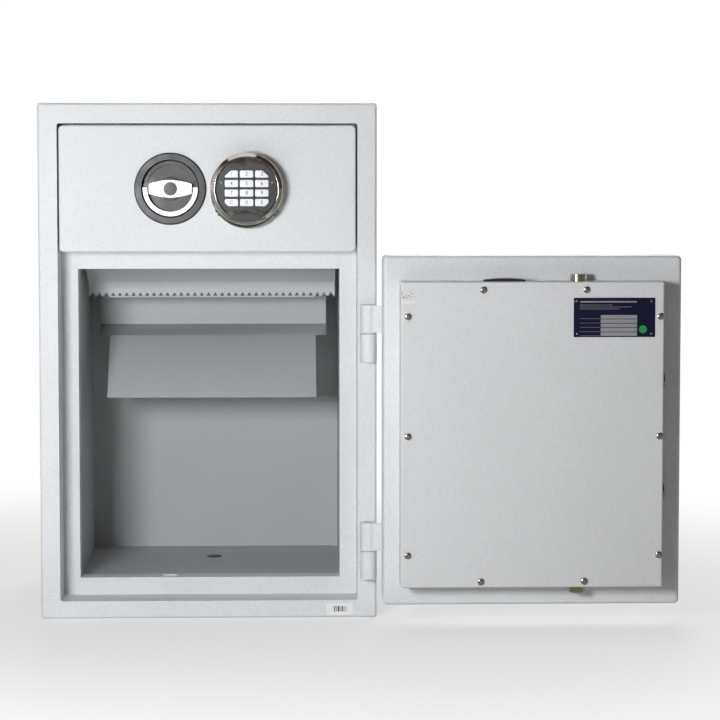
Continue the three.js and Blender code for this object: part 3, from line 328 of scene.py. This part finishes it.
def cut(body, *cutters):
    """A shape with others cut out of it"""
    pieces = []
    for part in (body, *cutters):
        mesh = bpy.data.meshes.new("held")
        part.to_mesh(mesh)
        part.free()
        piece = bpy.data.objects.new("held", mesh)
        bpy.context.scene.collection.objects.link(piece)
        pieces.append(piece)
    for cutter in pieces[1:]:
        hole = pieces[0].modifiers.new("hole", "BOOLEAN")
        hole.operation = "DIFFERENCE"
        hole.object = cutter
    bpy.context.view_layer.update()
    result = bmesh.new()
    result.from_mesh(pieces[0].evaluated_get(bpy.context.evaluated_depsgraph_get()).to_mesh())
    for piece in pieces:
        bpy.data.objects.remove(piece)
    return result


def hollow(outer, inner, fold):
    """A sheet tray that opens towards +Y, from its outer and inner box of (low, high) in mm"""
    shells = []
    for (low, high), radius in ((outer, fold), (inner, fold / 2)):
        bm = bmesh.new()
        bmesh.ops.create_cube(bm, size=mm)
        for axis, (a, b) in enumerate(zip(low, high)):
            for v in bm.verts:
                v.co[axis] = (b if v.co[axis] > 0 else a) * mm
        folds = [e for e in bm.edges if min(v.co.y for v in e.verts) < (low[1] + 0.1) * mm]
        bmesh.ops.bevel(bm, geom=folds, offset=radius * mm, segments=4, profile=0.5,
                        affect="EDGES", material=-1)
        shells.append(bm)
    return cut(*shells)


def drill(start, end):
    """A cutter for a bolt's hole, along Z from start to end in mm"""
    return turned([(0, start), (bolt_hole_radius, start), (bolt_hole_radius, end), (0, end)])


outer_box = (cover_left, cover_front, cover_low), (cover_right, cover_back, cover_top)
inner_box = ((cover_left + cover_sheet, cover_front + cover_sheet, cover_low + cover_sheet),
             (cover_right - cover_sheet, cover_back + 12, cover_top - cover_sheet))
tray = hollow(outer_box, inner_box, 2.4)
holes = [moved(drill(z, z + 12), (bolt_x_open, bolt_y_open, 0)) for z in (55, 460)]
holes += [moved(drill(598, 612), (0, bolt_y_open, z), along_x)
          for z in (lower_bolt_z, upper_bolt_z)]
holes += [plate(rectangle(372.2, 419.2, 460, 470), -319, -311)]
show("boltwork_cover_folded", cut(tray, *holes), "door", cover_paint,
     ["boltwork_cover"])


# A black moulded plug shuts the slot in the cover's top. Its shank presses into the slot and its
# head, a low arch, rests on the sheet.
black_plastic, tree, shader, place = new_finish("black_moulded_plastic", {"Specular IOR Level": 0.5})
mould = add(tree, "TexNoise", {"Vector": place, "Scale": 1 / (0.9 * mm), "Detail": 3.0}).outputs[0]
worn = add(tree, "TexNoise", {"Vector": place, "Scale": 1 / (22 * mm), "Detail": 3.0}).outputs[0]
pigment = add(tree, "Mix", {0: worn, 6: linear("#18181C"), 7: linear("#242429")},
              data_type="RGBA")
tree.links.new(pigment.outputs[2], shader.inputs["Base Color"])
sheen = add(tree, "MapRange", {"Value": worn, "From Min": 0.3, "From Max": 0.7, "To Min": 0.28,
                               "To Max": 0.44})
tree.links.new(sheen.outputs[0], shader.inputs["Roughness"])
grain = add(tree, "Bump", {"Height": mould, "Strength": 0.6, "Distance": 0.05 * mm})
tree.links.new(grain.outputs[0], shader.inputs["Normal"])

plug_x = 41.25
bow = [(plug_x + 27.5 * i / 12, cover_top + 2.2 + 1.8 * (1 - (i / 12) ** 2))
       for i in range(12, -13, -1)]
head = plate([(plug_x - 27.5, cover_top), (plug_x + 27.5, cover_top)] + bow, -148, -128, 0.6)
shank = plate(rectangle(plug_x - 23, plug_x + 23, cover_top - 4, cover_top + 0.5), -141.6, -134.4)
show("cover_slot_plug_moulded", moved(together(head, shank), turn=opened), "door",
     black_plastic, ["cover_slot_plug"])


# The bolts are turned steel bars with chamfered ends, ground and chrome plated, so they mirror the
# room in dark and bright bands. A flat rod with a pin joins the end bolts to the cam.
chrome, tree, shader, place = new_finish("polished_chrome", {"Metallic": 1.0, "Roughness": 0.09})
smear = add(tree, "TexNoise", {"Vector": place, "Scale": 1 / (14 * mm), "Detail": 4.0}).outputs[0]
plate_tint = add(tree, "Mix", {0: smear, 6: linear("#B9B4B2"), 7: linear("#D3D0CF")},
                 data_type="RGBA")
tree.links.new(plate_tint.outputs[2], shader.inputs["Base Color"])
film = add(tree, "MapRange", {"Value": smear, "From Min": 0.3, "From Max": 0.7, "To Min": 0.07,
                              "To Max": 0.16})
tree.links.new(film.outputs[0], shader.inputs["Roughness"])

handle_z = 260
bolt_radius = 11.5
along_y = Matrix.Rotation(-pi / 2, 4, "X")
for name, tip, way in (("top_bolt", 476.5, 1), ("bottom_bolt", 50, -1)):
    root = tip - way * 56
    half = [(0, root), (bolt_radius, root), (bolt_radius, tip), (0, tip)]
    shaft = moved(turned(half[::way], 1.4), (handle_x, bolt_y, 0))
    end = handle_z + way * 13
    rod = plate(rectangle(handle_x - 10, handle_x + 10, min(end, root), max(end, root)),
                bolt_y - 3, bolt_y + 3, 0.6)
    pin = moved(turned([(0, 2), (4, 2), (4, 15), (0, 15)], 0.4, 32),
                (handle_x, bolt_y, handle_z + way * 20), along_y)
    show(name + "_ground", moved(together(shaft, rod, pin), turn=opened), name, chrome,
         [name])
half = [(0, -174), (bolt_radius, -174), (bolt_radius, -129), (0, -129)]
for name, height in (("upper_side_bolt", upper_bolt_z), ("lower_side_bolt", lower_bolt_z)):
    shaft = moved(turned(half, 1.4), (0, bolt_y, height), along_x)
    show(name + "_ground", moved(shaft, turn=opened), "side_bolts", chrome,
         [name])


# Ten pan-head screws hold the cover, M5 steel with a cross recess and bright zinc plating. Each
# stopped at its own angle when it was driven in.
bright_zinc, tree, shader, place = new_finish("bright_zinc_plating", {"Metallic": 1.0})
haze = add(tree, "TexNoise", {"Vector": place, "Scale": 1 / (2.5 * mm), "Detail": 2.0}).outputs[0]
passivated = add(tree, "Mix", {0: haze, 6: linear("#C2C6CC"), 7: linear("#DCDFE4")},
                 data_type="RGBA")
tree.links.new(passivated.outputs[2], shader.inputs["Base Color"])
brushed = add(tree, "MapRange", {"Value": haze, "To Min": 0.12, "To Max": 0.3})
tree.links.new(brushed.outputs[0], shader.inputs["Roughness"])

screw_places = [(366.5, 456.6), (503, 456.6), (267, 421.4), (601, 421.4), (267, 262.4), (601, 262.4),
                (267, 103.6), (601, 103.6), (364, 68.6), (502, 68.6)]
turns = (12, 57, 33, 80, 5, 41, 68, 24, 50, 15)
head_profile = [(0, 0), (5, 0), (5, -0.5), (4.75, -1.3), (4.1, -2.0), (3.2, -2.4), (2, -2.58),
                (0, -2.6)]
screws = []
for (x, z), angle in zip(screw_places, turns):
    cross = [plate(rectangle(-a, a, -b, b), -6, -1.2, 0) for a, b in ((0.6, 2.7), (2.7, 0.6))]
    head = cut(moved(turned(head_profile, 0.25, 40), turn=along_y), *cross)
    screws.append(moved(head, (x, cover_front, z), Matrix.Rotation(radians(angle), 4, "Y")))
show("cover_screws", together(*screws), "door", bright_zinc)


# The nameplate is a sheet of aluminium, anodised navy with bare silver fields, on four rivets.
# It is left without words: ruled lines and empty fields stand where they would be.
navy, tree, shader, place = new_finish("navy_anodised_aluminium", {"Metallic": 0.35,
                                                                   "Specular IOR Level": 0.5})
rolled = add(tree, "Mapping", {"Vector": place, "Scale": (8, 8, 900)})
lines = add(tree, "TexNoise", {"Vector": rolled.outputs[0], "Scale": 1.0, "Detail": 2.0}).outputs[0]
dye = add(tree, "Mix", {0: lines, 6: linear("#0A0A30"), 7: linear("#141542")}, data_type="RGBA")
tree.links.new(dye.outputs[2], shader.inputs["Base Color"])
satin = add(tree, "MapRange", {"Value": lines, "To Min": 0.3, "To Max": 0.45})
tree.links.new(satin.outputs[0], shader.inputs["Roughness"])

bare, tree, shader, place = new_finish("bare_rolled_aluminium", {"Metallic": 0.5})
rolled = add(tree, "Mapping", {"Vector": place, "Scale": (12, 12, 700)})
lines = add(tree, "TexNoise", {"Vector": rolled.outputs[0], "Scale": 1.0, "Detail": 2.0}).outputs[0]
silver = add(tree, "Mix", {0: lines, 6: linear("#9C9CA4"), 7: linear("#B8B8C0")}, data_type="RGBA")
tree.links.new(silver.outputs[2], shader.inputs["Base Color"])
satin = add(tree, "MapRange", {"Value": lines, "To Min": 0.35, "To Max": 0.5})
tree.links.new(satin.outputs[0], shader.inputs["Roughness"])

plate_face = cover_front - 0.8
label_x, label_z = (485.6, 593.6), (394, 446)
show("nameplate", plate(rectangle(*label_x, *label_z), cover_front, plate_face, 0.3), "door", navy)
ruled = [rectangle(493.5, 520.5, z, z + 0.35) for z in (418.2, 412.5, 406.8, 401, 395.6)]
ruled += [rectangle(493.5, end, z, z + 0.5) for end, z in ((537, 436.2), (562, 433.6), (546, 431))]
ruled += [rectangle(494, 569, 439.8, 441.6)]
fields = [rectangle(521.4, 569.6, z, z + 4.9) for z in (418.3, 412.6, 406.9, 401.2, 395.5)]
show("nameplate_fields",
     together(*[plate(f, plate_face + 0.02, plate_face - 0.1) for f in fields + ruled]), "door", bare)
rivets = [moved(turned([(0, 0), (1.7, 0), (1.3, -0.7), (0, -0.9)], 0.15, 32),
                (x, plate_face + 0.1, z), along_y) for x in (490.2, 588.8) for z in (398.4, 441.4)]
show("nameplate_rivets", together(*rivets), "door", bright_zinc)

green_print, tree, shader, place = new_finish("green_print", {"Roughness": 0.45})
ink = add(tree, "TexNoise", {"Vector": place, "Scale": 1 / (1.5 * mm), "Detail": 2.0}).outputs[0]
patchy = add(tree, "Mix", {0: ink, 6: linear("#128A45"), 7: linear("#1FA35A")}, data_type="RGBA")
tree.links.new(patchy.outputs[2], shader.inputs["Base Color"])
dot = moved(turned([(0, 0), (5.2, 0), (5.2, -0.12), (0, -0.12)], 0, 48),
            (577.5, plate_face + 0.02, 404.2), along_y)
show("nameplate_green_dot", dot, "door", green_print)


# Handle: a black moulded dish let into the front, a rotor in it, a cast grip and a folding bail
# with a satin silver coat. The drawer and the door have the same one.
satin_silver, tree, shader, place = new_finish("satin_silver_coat", {"Metallic": 0.35,
                                                                     "Specular IOR Level": 0.5})
flake = add(tree, "TexNoise", {"Vector": place, "Scale": 1 / (0.8 * mm), "Detail": 2.0}).outputs[0]
rubbed = add(tree, "TexNoise", {"Vector": place, "Scale": 1 / (18 * mm), "Detail": 3.0}).outputs[0]
coating = add(tree, "Mix", {0: flake, 6: linear("#E4E4E8"), 7: linear("#F6F6F8")},
              data_type="RGBA")
tree.links.new(coating.outputs[2], shader.inputs["Base Color"])
handled = add(tree, "MapRange", {"Value": rubbed, "From Min": 0.3, "From Max": 0.7,
                                 "To Min": 0.28, "To Max": 0.42})
tree.links.new(handled.outputs[0], shader.inputs["Roughness"])


def arc(radius, start, end, steps):
    """Points on an arc about the middle, its angles in degrees from +X towards +Z"""
    angles = [radians(start + (end - start) * i / steps) for i in range(steps + 1)]
    return [(radius * cos(a), radius * sin(a)) for a in angles]


def dish():
    return moved(turned([(39, 16), (39, -3), (47.6, -3), (49, -1.6), (49, 0), (41, 0), (41, 18),
                         (7, 18), (7, 16)], 0.5), turn=along_y)


def rotor():
    disc = turned([(0, -1.8), (9.4, -1.8), (9.4, 4), (15.5, 4), (15.5, 9.5), (38, 9.5), (38, 15),
                   (6, 15), (6, 22), (0, 22)], 0.5)
    collar = plate(arc(37.9, 16, 164, 60) + arc(32, 164, 16, 60), 7.6, 9.8, 0.5)
    posts = [plate(rectangle(side - 3.4, side + 3.4, -3.4, 3.4), 5, 9.8, 0.4)
             for side in (-27, 27)]
    return together(moved(disc, turn=along_y), collar, *posts)


def grip():
    top = [(-29 + 58 * i / 32, 6.9 + 5.2 * (1 - (i / 16 - 1) ** 2)) for i in range(33)]
    ends = [(29.5, 6.2), (29.2, 0), (29.5, -6.2)]
    outline = top + ends + [(x, -z) for x, z in reversed(top)] + [(-x, -z) for x, z in ends]
    return plate(outline, 4, -1, 0.8)


def bail():
    ring = plate(arc(37.6, 180, 360, 72) + [(37.6, 2.3), (30.9, 2.3)] + arc(30.9, 360, 180, 72)
                 + [(-30.9, 2.3), (-37.6, 2.3)], 4, -1, 0.9)
    ears = []
    for side in (-1, 1):
        ears.append(moved(turned([(0, 30.9), (2.3, 30.9), (2.3, 36.6), (0, 36.6)], 0.2, 32),
                          (0, 6.5, 0), Matrix.Rotation(side * pi / 2, 4, "Y")))
        ears.append(moved(turned([(0, 25.9), (1.6, 25.9), (1.6, 31.7), (0, 31.7)], 0.2, 24),
                          (0, 6.5, 0), Matrix.Rotation(side * pi / 2, 4, "Y")))
        inner, outer = sorted((side * 30.9, side * 36.6))
        ears.append(plate(rectangle(inner, outer, -2.3, 2.3), 3, 6.5))
    return together(ring, *ears)


def rear_half(node, closing):
    """The shaft and cam of a CAD rotor, behind its disc, drawn as on a closed front"""
    bm = moved(merged(node), turn=closing)
    cut_at = (0, (front + 14) * mm, 0)
    bmesh.ops.bisect_plane(bm, geom=bm.verts[:] + bm.edges[:] + bm.faces[:], plane_co=cut_at,
                           plane_no=(0, -1, 0), clear_outer=True)
    return bm


controls_z = 589
for owner, x, z, swing in (("drawer", -50.5, controls_z, Matrix()),
                           ("door", handle_x, handle_z, opened)):
    centre = (x, front, z)
    show(owner + "_handle_dish_moulded", moved(moved(dish(), centre), turn=swing), owner,
         black_plastic, [owner + "_handle_dish"])
    show(owner + "_handle_rotor_moulded",
         moved(together(moved(rotor(), centre), rear_half(owner + "_handle_rotor", swing)),
               turn=swing), owner + "_handle", black_plastic,
         [owner + "_handle_rotor"])
    show(owner + "_handle_grip_cast", moved(moved(grip(), centre), turn=swing),
         owner + "_handle", satin_silver, [owner + "_handle_grip"])
    show(owner + "_handle_bail_cast", moved(moved(bail(), centre), turn=swing),
         owner + "_bail", satin_silver, [owner + "_handle_bail"])


# The door's key lock shows as a turned escutcheon with a small pressed flap that hangs over the
# keyhole from its own rivet.
lock_x = 47
show("key_escutcheon_turned", soften(merged("key_escutcheon"), 0.3), "door", satin_silver,
     ["key_escutcheon"])
flap_outline = [(x, z + 12) for x, z in arc(4.6, 20, 160, 24)]
flap_outline += [(x, z - 1) for x, z in arc(9, 160, 380, 60)]
flap = plate(flap_outline, -3.3, -5.8, 0.6)
rivet = moved(turned([(0, -6.6), (1.6, -6.4), (2.0, -5.6), (2.0, -0.4), (0, -0.4)], 0.15, 40),
              (0, 0, 12), along_y)
show("keyhole_flap_pressed",
     moved(moved(together(flap, rivet), (lock_x, front, handle_z)), turn=opened), "keyhole_flap",
     satin_silver, ["keyhole_flap"])


# The drawer's front is built as the door is. Behind it a folded sheet tray slides on two runners,
# and a painted box covers the latch, which is a flat bar with a pin.
for node in ("drawer_pan", "drawer_face_plate"):
    show(node + "_bent", soften(merged(node), 0.4), "drawer", cabinet_paint,
         [node])
show("hopper_tray_folded", soften(merged("hopper_tray"), 0.2), "drawer", zinc,
     ["hopper_tray"])
show("drawer_lock_box_folded", soften(merged("drawer_lock_box"), 0.3), "drawer", cover_paint,
     ["drawer_lock_box"])
show("drawer_latch_bar", soften(merged("drawer_latch"), 0.4), "drawer_latch", zinc,
     ["drawer_latch"])


# The keypad's housing is a round zinc casting set a little low behind the bezel, with a black
# moulded face. Two small clips on each side and a battery slot below show at its edge.
keypad_x, keypad_z = 53.5, controls_z
keypad = (keypad_x, front, keypad_z)
housing_place = (keypad_x, front, keypad_z - 4.5)
housing = moved(turned([(0, 0), (49, 0), (49, -18), (47, -20), (0, -20)], 0.8), turn=along_y)
face = merged("keypad_housing")
bmesh.ops.bisect_plane(face, geom=face.verts[:] + face.edges[:] + face.faces[:],
                       plane_co=(0, (front - 19.9) * mm, 0), plane_no=(0, 1, 0), clear_outer=True)
show("keypad_face_moulded", soften(face, 0.25), "drawer", black_plastic)
cast_zinc, tree, shader, place = new_finish("satin_chromed_casting", {"Metallic": 1.0})
cast = add(tree, "TexNoise", {"Vector": place, "Scale": 1 / (1.6 * mm), "Detail": 3.0}).outputs[0]
tone = add(tree, "Mix", {0: cast, 6: linear("#A9A9A4"), 7: linear("#C4C4C0")}, data_type="RGBA")
tree.links.new(tone.outputs[2], shader.inputs["Base Color"])
satin = add(tree, "MapRange", {"Value": cast, "To Min": 0.22, "To Max": 0.36})
tree.links.new(satin.outputs[0], shader.inputs["Roughness"])
show("keypad_housing_cast", moved(housing, housing_place), "drawer", cast_zinc,
     ["keypad_housing"])
clips = []
for angle in (212, 219, 321, 328):
    clip = plate(rectangle(48.2, 50, -1.5, 1.5), -19.6, -13, 0.4)
    clips.append(moved(clip, turn=Matrix.Rotation(-radians(angle), 4, "Y")))
slot = plate(rectangle(-3, 3, -49.15, -47.6), -12, -8.6, 0.2)
show("keypad_clips", moved(together(*clips, slot), housing_place), "drawer", black_plastic)


# The bezel is a chromed ring with a broad cone and a thin bright inner lip. Two chromed inlays
# bow over the face at top and bottom, and a dark oval sits on the lower one, left bare.
bezel = moved(turned([(41.6, -20), (41.6, -31.6), (42.4, -33), (43.6, -33), (44.2, -32.2),
                      (48.2, -28), (49, -26), (49, -20)], 0.3, 128), turn=along_y)
inlays = []
for way, level, rim in ((1, 30, 34.5), (-1, 27.2, 31)):
    half = 22.5 if way > 0 else 25
    across = [(-half + 2 * half * i / 32, rim - (rim - level) * (1 - (i / 16 - 1) ** 2))
              for i in range(33)]
    edge = asin(rim / 41.9) * 180 / pi
    outline = across + arc(42, edge, 180 - edge, 32)
    inlays.append(plate([(x, way * z) for x, z in outline], -28.9, -31, 0.8))
show("keypad_bezel_chromed", moved(together(bezel, *inlays), keypad), "drawer", chrome,
     ["keypad_bezel"])
oval = plate([(x * 20.5, -38 + z * 6) for x, z in arc(1, 0, 360 - 360 / 64, 63)], -30, -33.4, 0.7)
show("keypad_oval", moved(oval, keypad), "drawer", black_plastic)


# Twelve keys are moulded in silver plastic with soft edges, each in its own well, and their
# numbers are printed grey. The two corner keys below carry plain signs.
key_silver, tree, shader, place = new_finish("silver_key_plastic", {"Metallic": 0.15,
                                                                    "Specular IOR Level": 0.5})
flake = add(tree, "TexNoise", {"Vector": place, "Scale": 1 / (0.7 * mm), "Detail": 2.0}).outputs[0]
pearl = add(tree, "Mix", {0: flake, 6: linear("#D6D8DD"), 7: linear("#EBECF0")}, data_type="RGBA")
tree.links.new(pearl.outputs[2], shader.inputs["Base Color"])
touched = add(tree, "MapRange", {"Value": flake, "To Min": 0.3, "To Max": 0.42})
tree.links.new(touched.outputs[0], shader.inputs["Roughness"])

grey_print, tree, shader, place = new_finish("grey_key_print", {"Roughness": 0.5})
ink = add(tree, "TexNoise", {"Vector": place, "Scale": 1 / (1 * mm), "Detail": 2.0}).outputs[0]
patchy = add(tree, "Mix", {0: ink, 6: linear("#2C2E34"), 7: linear("#3E4046")}, data_type="RGBA")
tree.links.new(patchy.outputs[2], shader.inputs["Base Color"])


def key_outline(column, row):
    """The outline of a key about its middle, the keypad's four corner keys cut off"""
    w, h, small = 9.2, 5.1, 1.0
    cut_top = (8.6, 7.6) if row == 0 and column != 1 else (small, small)
    cut_low = (5, 4.5) if row == 3 and column != 1 else (small, small)
    hand = -1 if column == 0 else 1
    outline = [(w, cut_low[1] - h), (w, h - cut_top[1]), (w - cut_top[0], h), (small - w, h),
               (-w, h - small), (-w, small - h), (small - w, -h), (w - cut_low[0], -h)]
    return [(hand * x, z) for x, z in outline]


def printed(text, height, x, z, y):
    """A printed sign as a thin mesh that faces -Y, its middle at x and z"""
    curve = bpy.data.curves.new("held", "FONT")
    curve.body = text
    curve.size = height * mm / 0.7
    curve.align_x = "CENTER"
    curve.align_y = "CENTER"
    curve.extrude = 0.03 * mm
    curve.resolution_u = 4
    sign = bpy.data.objects.new("held", curve)
    bpy.context.scene.collection.objects.link(sign)
    bpy.context.view_layer.update()
    bm = bmesh.new()
    bm.from_mesh(sign.evaluated_get(bpy.context.evaluated_depsgraph_get()).to_mesh())
    bpy.data.objects.remove(sign)
    return moved(bm, (x, y, z), Matrix.Rotation(pi / 2, 4, "X"))


labels = (("1", "2", "3"), ("4", "5", "6"), ("7", "8", "9"), ("clear", "0", "enter"))
signs = {"clear": "C", "enter": "E"}
for row, names in enumerate(labels):
    for column, label in enumerate(names):
        x = keypad_x + (column - 1) * 20.5
        z = keypad_z + 0.8 + (1.5 - row) * 12.8
        node = "key_" + label
        key = plate(key_outline(column, row), -31.5, -27.5, 0.9)
        show(node + "_moulded", moved(key, (x, front, z)), node, key_silver,
             [node])
        show(node + "_print", printed(signs.get(label, label), 4.9, x, z, front - 31.52), node,
             grey_print)


# Two lamps beside the keys are small domes of coloured plastic, green for open and red for a
# wrong code. They are moulded and pressed into the keypad's face.
for name, colour, side in (("green_lamp", "#2FB35F", -34.4), ("red_lamp", "#D8433F", 34.4)):
    lens, tree, shader, place = new_finish(name + "_plastic", {"Roughness": 0.25,
                                                               "Coat Weight": 0.4})
    depth = add(tree, "TexNoise", {"Vector": place, "Scale": 1 / (0.6 * mm)}).outputs[0]
    glow = add(tree, "Mix", {0: depth, 6: linear(colour), 7: linear("#F0E0D8")},
               data_type="RGBA")
    weak = add(tree, "Math", {0: depth, 1: 0.25}, operation="MULTIPLY")
    tree.links.new(weak.outputs[0], glow.inputs[0])
    tree.links.new(glow.outputs[2], shader.inputs["Base Color"])
    dome = turned([(0, -28.8), (1.5, -28.8), (1.5, -29.3), (1.0, -29.9), (0, -30.1)], 0.1, 32)
    show(name, moved(dome, (keypad_x + side, front, keypad_z + 8.6), along_y), "drawer", lens)


# A white paper label with plain bars is stuck on the frame below the door, and a smaller one has
# worn off the cover's corner until only faint print is left.
paper, tree, shader, place = new_finish("white_label_paper", {"Roughness": 0.6})
across = add(tree, "SeparateXYZ", {"Vector": place})
step = add(tree, "Math", {0: across.outputs[0], 1: 1 / (0.45 * mm)}, operation="MULTIPLY")
whole = add(tree, "Math", {0: step.outputs[0]}, operation="FLOOR")
pick = add(tree, "TexWhiteNoise", {"W": whole.outputs[0]}, noise_dimensions="1D")
bar = add(tree, "Math", {0: pick.outputs[0], 1: 0.55}, operation="GREATER_THAN")
inside = bar.outputs[0]
for axis, low, high in ((0, 168.6, 189.4), (2, 8.2, 16)):
    for value, kind in ((low, "GREATER_THAN"), (high, "LESS_THAN")):
        limit = add(tree, "Math", {0: across.outputs[axis], 1: value * mm}, operation=kind)
        inside = add(tree, "Math", {0: inside, 1: limit.outputs[0]}, operation="MULTIPLY").outputs[0]
print_tint = add(tree, "Mix", {0: inside, 6: linear("#EDEEEF"), 7: linear("#4A4C52")},
                 data_type="RGBA")
tree.links.new(print_tint.outputs[2], shader.inputs["Base Color"])
show("bar_label", plate(rectangle(161, 197, 3.4, 19.6), front, front - 0.12), "cabinet", paper)

worn_paper, tree, shader, place = new_finish("worn_label_paper", {"Roughness": 0.7})
rubbed = add(tree, "TexNoise", {"Vector": place, "Scale": 1 / (1.7 * mm), "Detail": 4.0}).outputs[0]
specks = add(tree, "MapRange", {"Value": rubbed, "From Min": 0.5, "From Max": 0.6})
rows = add(tree, "SeparateXYZ", {"Vector": place})
upper = add(tree, "MapRange", {"Value": rows.outputs[2], "From Min": 441 * mm,
                               "From Max": 447 * mm})
left = add(tree, "Math", {0: specks.outputs[0], 1: upper.outputs[0]}, operation="MULTIPLY")
faded = add(tree, "Mix", {0: left.outputs[0], 6: linear("#E6E3E4"), 7: linear("#8C8490")},
            data_type="RGBA")
tree.links.new(faded.outputs[2], shader.inputs["Base Color"])
show("worn_label", plate(rectangle(258.6, 275.6, 438.6, 454.6), cover_front, cover_front - 0.1),
     "door", worn_paper)


# A black plastic cap closes the anchor hole in the floor of the cabinet. It is moulded, and its
# stem presses into the hole.
cap = turned([(0, -12), (5.8, -12), (5.8, 0), (11, 0), (10.2, 1.6), (0, 2.6)], 0.5, 48)
show("anchor_cap", moved(cap, (0, 60, 44.3)), "cabinet", black_plastic)


# The studio has a pale floor that runs into white, a small low lamp on the left that draws clear
# shadows, and soft ones above and behind. Polished metal mirrors a dark room with one window.
floor_finish, tree, shader, place = new_finish("pale_floor", {"Base Color": linear("#F4F4F3"),
                                                              "Roughness": 0.85})
distance = add(tree, "VectorMath", {0: place}, operation="LENGTH")
fade = add(tree, "MapRange", {"Value": distance.outputs["Value"], "From Min": 0.3,
                              "From Max": 1.6, "To Min": 0.45, "To Max": 1.0},
           interpolation_type="SMOOTHERSTEP")
rays = add(tree, "LightPath")
seen = add(tree, "Math", {0: rays.outputs["Is Camera Ray"], 1: rays.outputs["Is Transmission Ray"]},
           operation="ADD", use_clamp=True)
blend = add(tree, "Math", {0: seen.outputs[0], 1: fade.outputs[0]}, operation="MULTIPLY")
white = add(tree, "Emission", {"Color": (1, 1, 1, 1), "Strength": 1.0})
both = add(tree, "MixShader", {0: blend.outputs[0], 1: shader.outputs[0], 2: white.outputs[0]})
# Painted reflection: to reflected rays only, the floor near the cabinet glows olive and beige, fading
# to white behind
ground = add(tree, "SeparateXYZ", {"Vector": place})
beside = add(tree, "MapRange", {"Value": ground.outputs[0], "From Min": -0.3, "From Max": -0.65})
behind = add(tree, "MapRange", {"Value": ground.outputs[1], "From Min": 0.3, "From Max": 1.6})
near = add(tree, "Mix", {0: beside.outputs[0], 6: linear("#7E775A"), 7: linear("#B5B2A8")},
           data_type="RGBA")
far = add(tree, "Mix", {0: behind.outputs[0], 6: near.outputs[2], 7: linear("#FFFFFF")},
          data_type="RGBA")
mirrored = add(tree, "Emission", {"Color": far.outputs[2], "Strength": 1.0})
whole = add(tree, "MixShader", {0: rays.outputs["Is Glossy Ray"], 1: both.outputs[0],
                                2: mirrored.outputs[0]})
tree.links.new(whole.outputs[0], tree.nodes["Material Output"].inputs[0])
disc = bmesh.new()
bmesh.ops.create_circle(disc, cap_ends=True, radius=30, segments=96)
mesh = bpy.data.meshes.new("floor")
disc.to_mesh(mesh)
disc.free()
mesh.materials.append(floor_finish)
floor = bpy.data.objects.new("floor", mesh)
bpy.context.scene.collection.objects.link(floor)

world = bpy.data.worlds.new("studio")
bpy.context.scene.world = world
world.use_nodes = True
tree = world.node_tree
tree.nodes.clear()
away = add(tree, "SeparateXYZ", {"Vector": add(tree, "TexCoord").outputs["Generated"]})
ahead = add(tree, "Math", {0: away.outputs[1], 1: -1.0}, operation="MULTIPLY")
round_room = add(tree, "Math", {0: away.outputs[0], 1: ahead.outputs[0]}, operation="ARCTAN2")
turn = add(tree, "MapRange", {"Value": round_room.outputs[0], "From Min": -pi, "From Max": pi})
walls = add(tree, "ValToRGB", {"Fac": turn.outputs[0]})
shades = ((0.0, "#FFFFFF"), (0.15, "#FFFFFF"), (0.2, "#C8CBE0"), (0.236, "#F2E4E0"),
          (0.264, "#E6D6D0"), (0.285, "#6E655C"), (0.36, "#39322E"), (0.444, "#2A262A"),
          (0.4514, "#FFFFFF"), (0.4597, "#FFFFFF"), (0.467, "#2E2A2C"), (0.667, "#2E2622"),
          (0.75, "#4F3D33"), (0.8, "#4A4644"), (0.85, "#C0C6CC"), (1.0, "#FFFFFF"))
while len(walls.color_ramp.elements) < len(shades):
    walls.color_ramp.elements.new(0.5)
for stop, (position, colour) in zip(walls.color_ramp.elements, shades):
    stop.position = position
    stop.color = linear(colour)
up = add(tree, "MapRange", {"Value": away.outputs[2], "From Min": 0.3, "From Max": 0.7})
room = add(tree, "Mix", {0: up.outputs[0], 6: walls.outputs[0], 7: linear("#4E3B32")},
           data_type="RGBA")
mirrored = add(tree, "Background", {"Color": room.outputs[2], "Strength": 1.0})
ambient = add(tree, "Background", {"Color": (1, 0.91, 0.87, 1), "Strength": 0.09})
backdrop = add(tree, "Background", {"Color": (1, 1, 1, 1), "Strength": 1.0})
rays = add(tree, "LightPath")
glossy = add(tree, "MixShader", {0: rays.outputs["Is Glossy Ray"], 1: ambient.outputs[0],
                                 2: mirrored.outputs[0]})
direct = add(tree, "Math", {0: rays.outputs["Is Camera Ray"], 1: rays.outputs["Is Transmission Ray"]},
             operation="ADD", use_clamp=True)
final = add(tree, "MixShader", {0: direct.outputs[0], 1: glossy.outputs[0], 2: backdrop.outputs[0]})
add(tree, "OutputWorld", {"Surface": final.outputs[0]})

for name, place, aim, size, power, colour in (
        ("key_lamp", (-0.46, -1.82, 0.58), (0.12, 0, 0.38), 0.34, 20.5, (0.97, 0.985, 1)),
        ("top_lamp", (-0.3, -0.2, 3.2), (0, 0, 0), 2.0, 12, (1, 1, 1)),
        ("back_lamp", (0.4, 3.0, 2.0), (0, 0, 0.35), 2.0, 60, (1, 1, 1))):
    lamp = bpy.data.lights.new(name, "AREA")
    lamp.size = size
    lamp.energy = power
    lamp.color = colour
    stand = bpy.data.objects.new(name, lamp)
    bpy.context.scene.collection.objects.link(stand)
    stand.location = place
    stand.rotation_euler = (Vector(aim) - Vector(place)).to_track_quat("-Z", "Y").to_euler()

lens = bpy.data.cameras.new("camera")
lens.lens = 126.1
lens.sensor_width = 36
camera = bpy.data.objects.new("camera", lens)
camera.location = (0.0984, -3.653, 0.6054)
camera.rotation_euler = (pi / 2 - 0.07256, 0, -0.03164)
bpy.context.scene.collection.objects.link(camera)
bpy.context.scene.camera = camera
bpy.context.scene.view_settings.view_transform = "Standard"
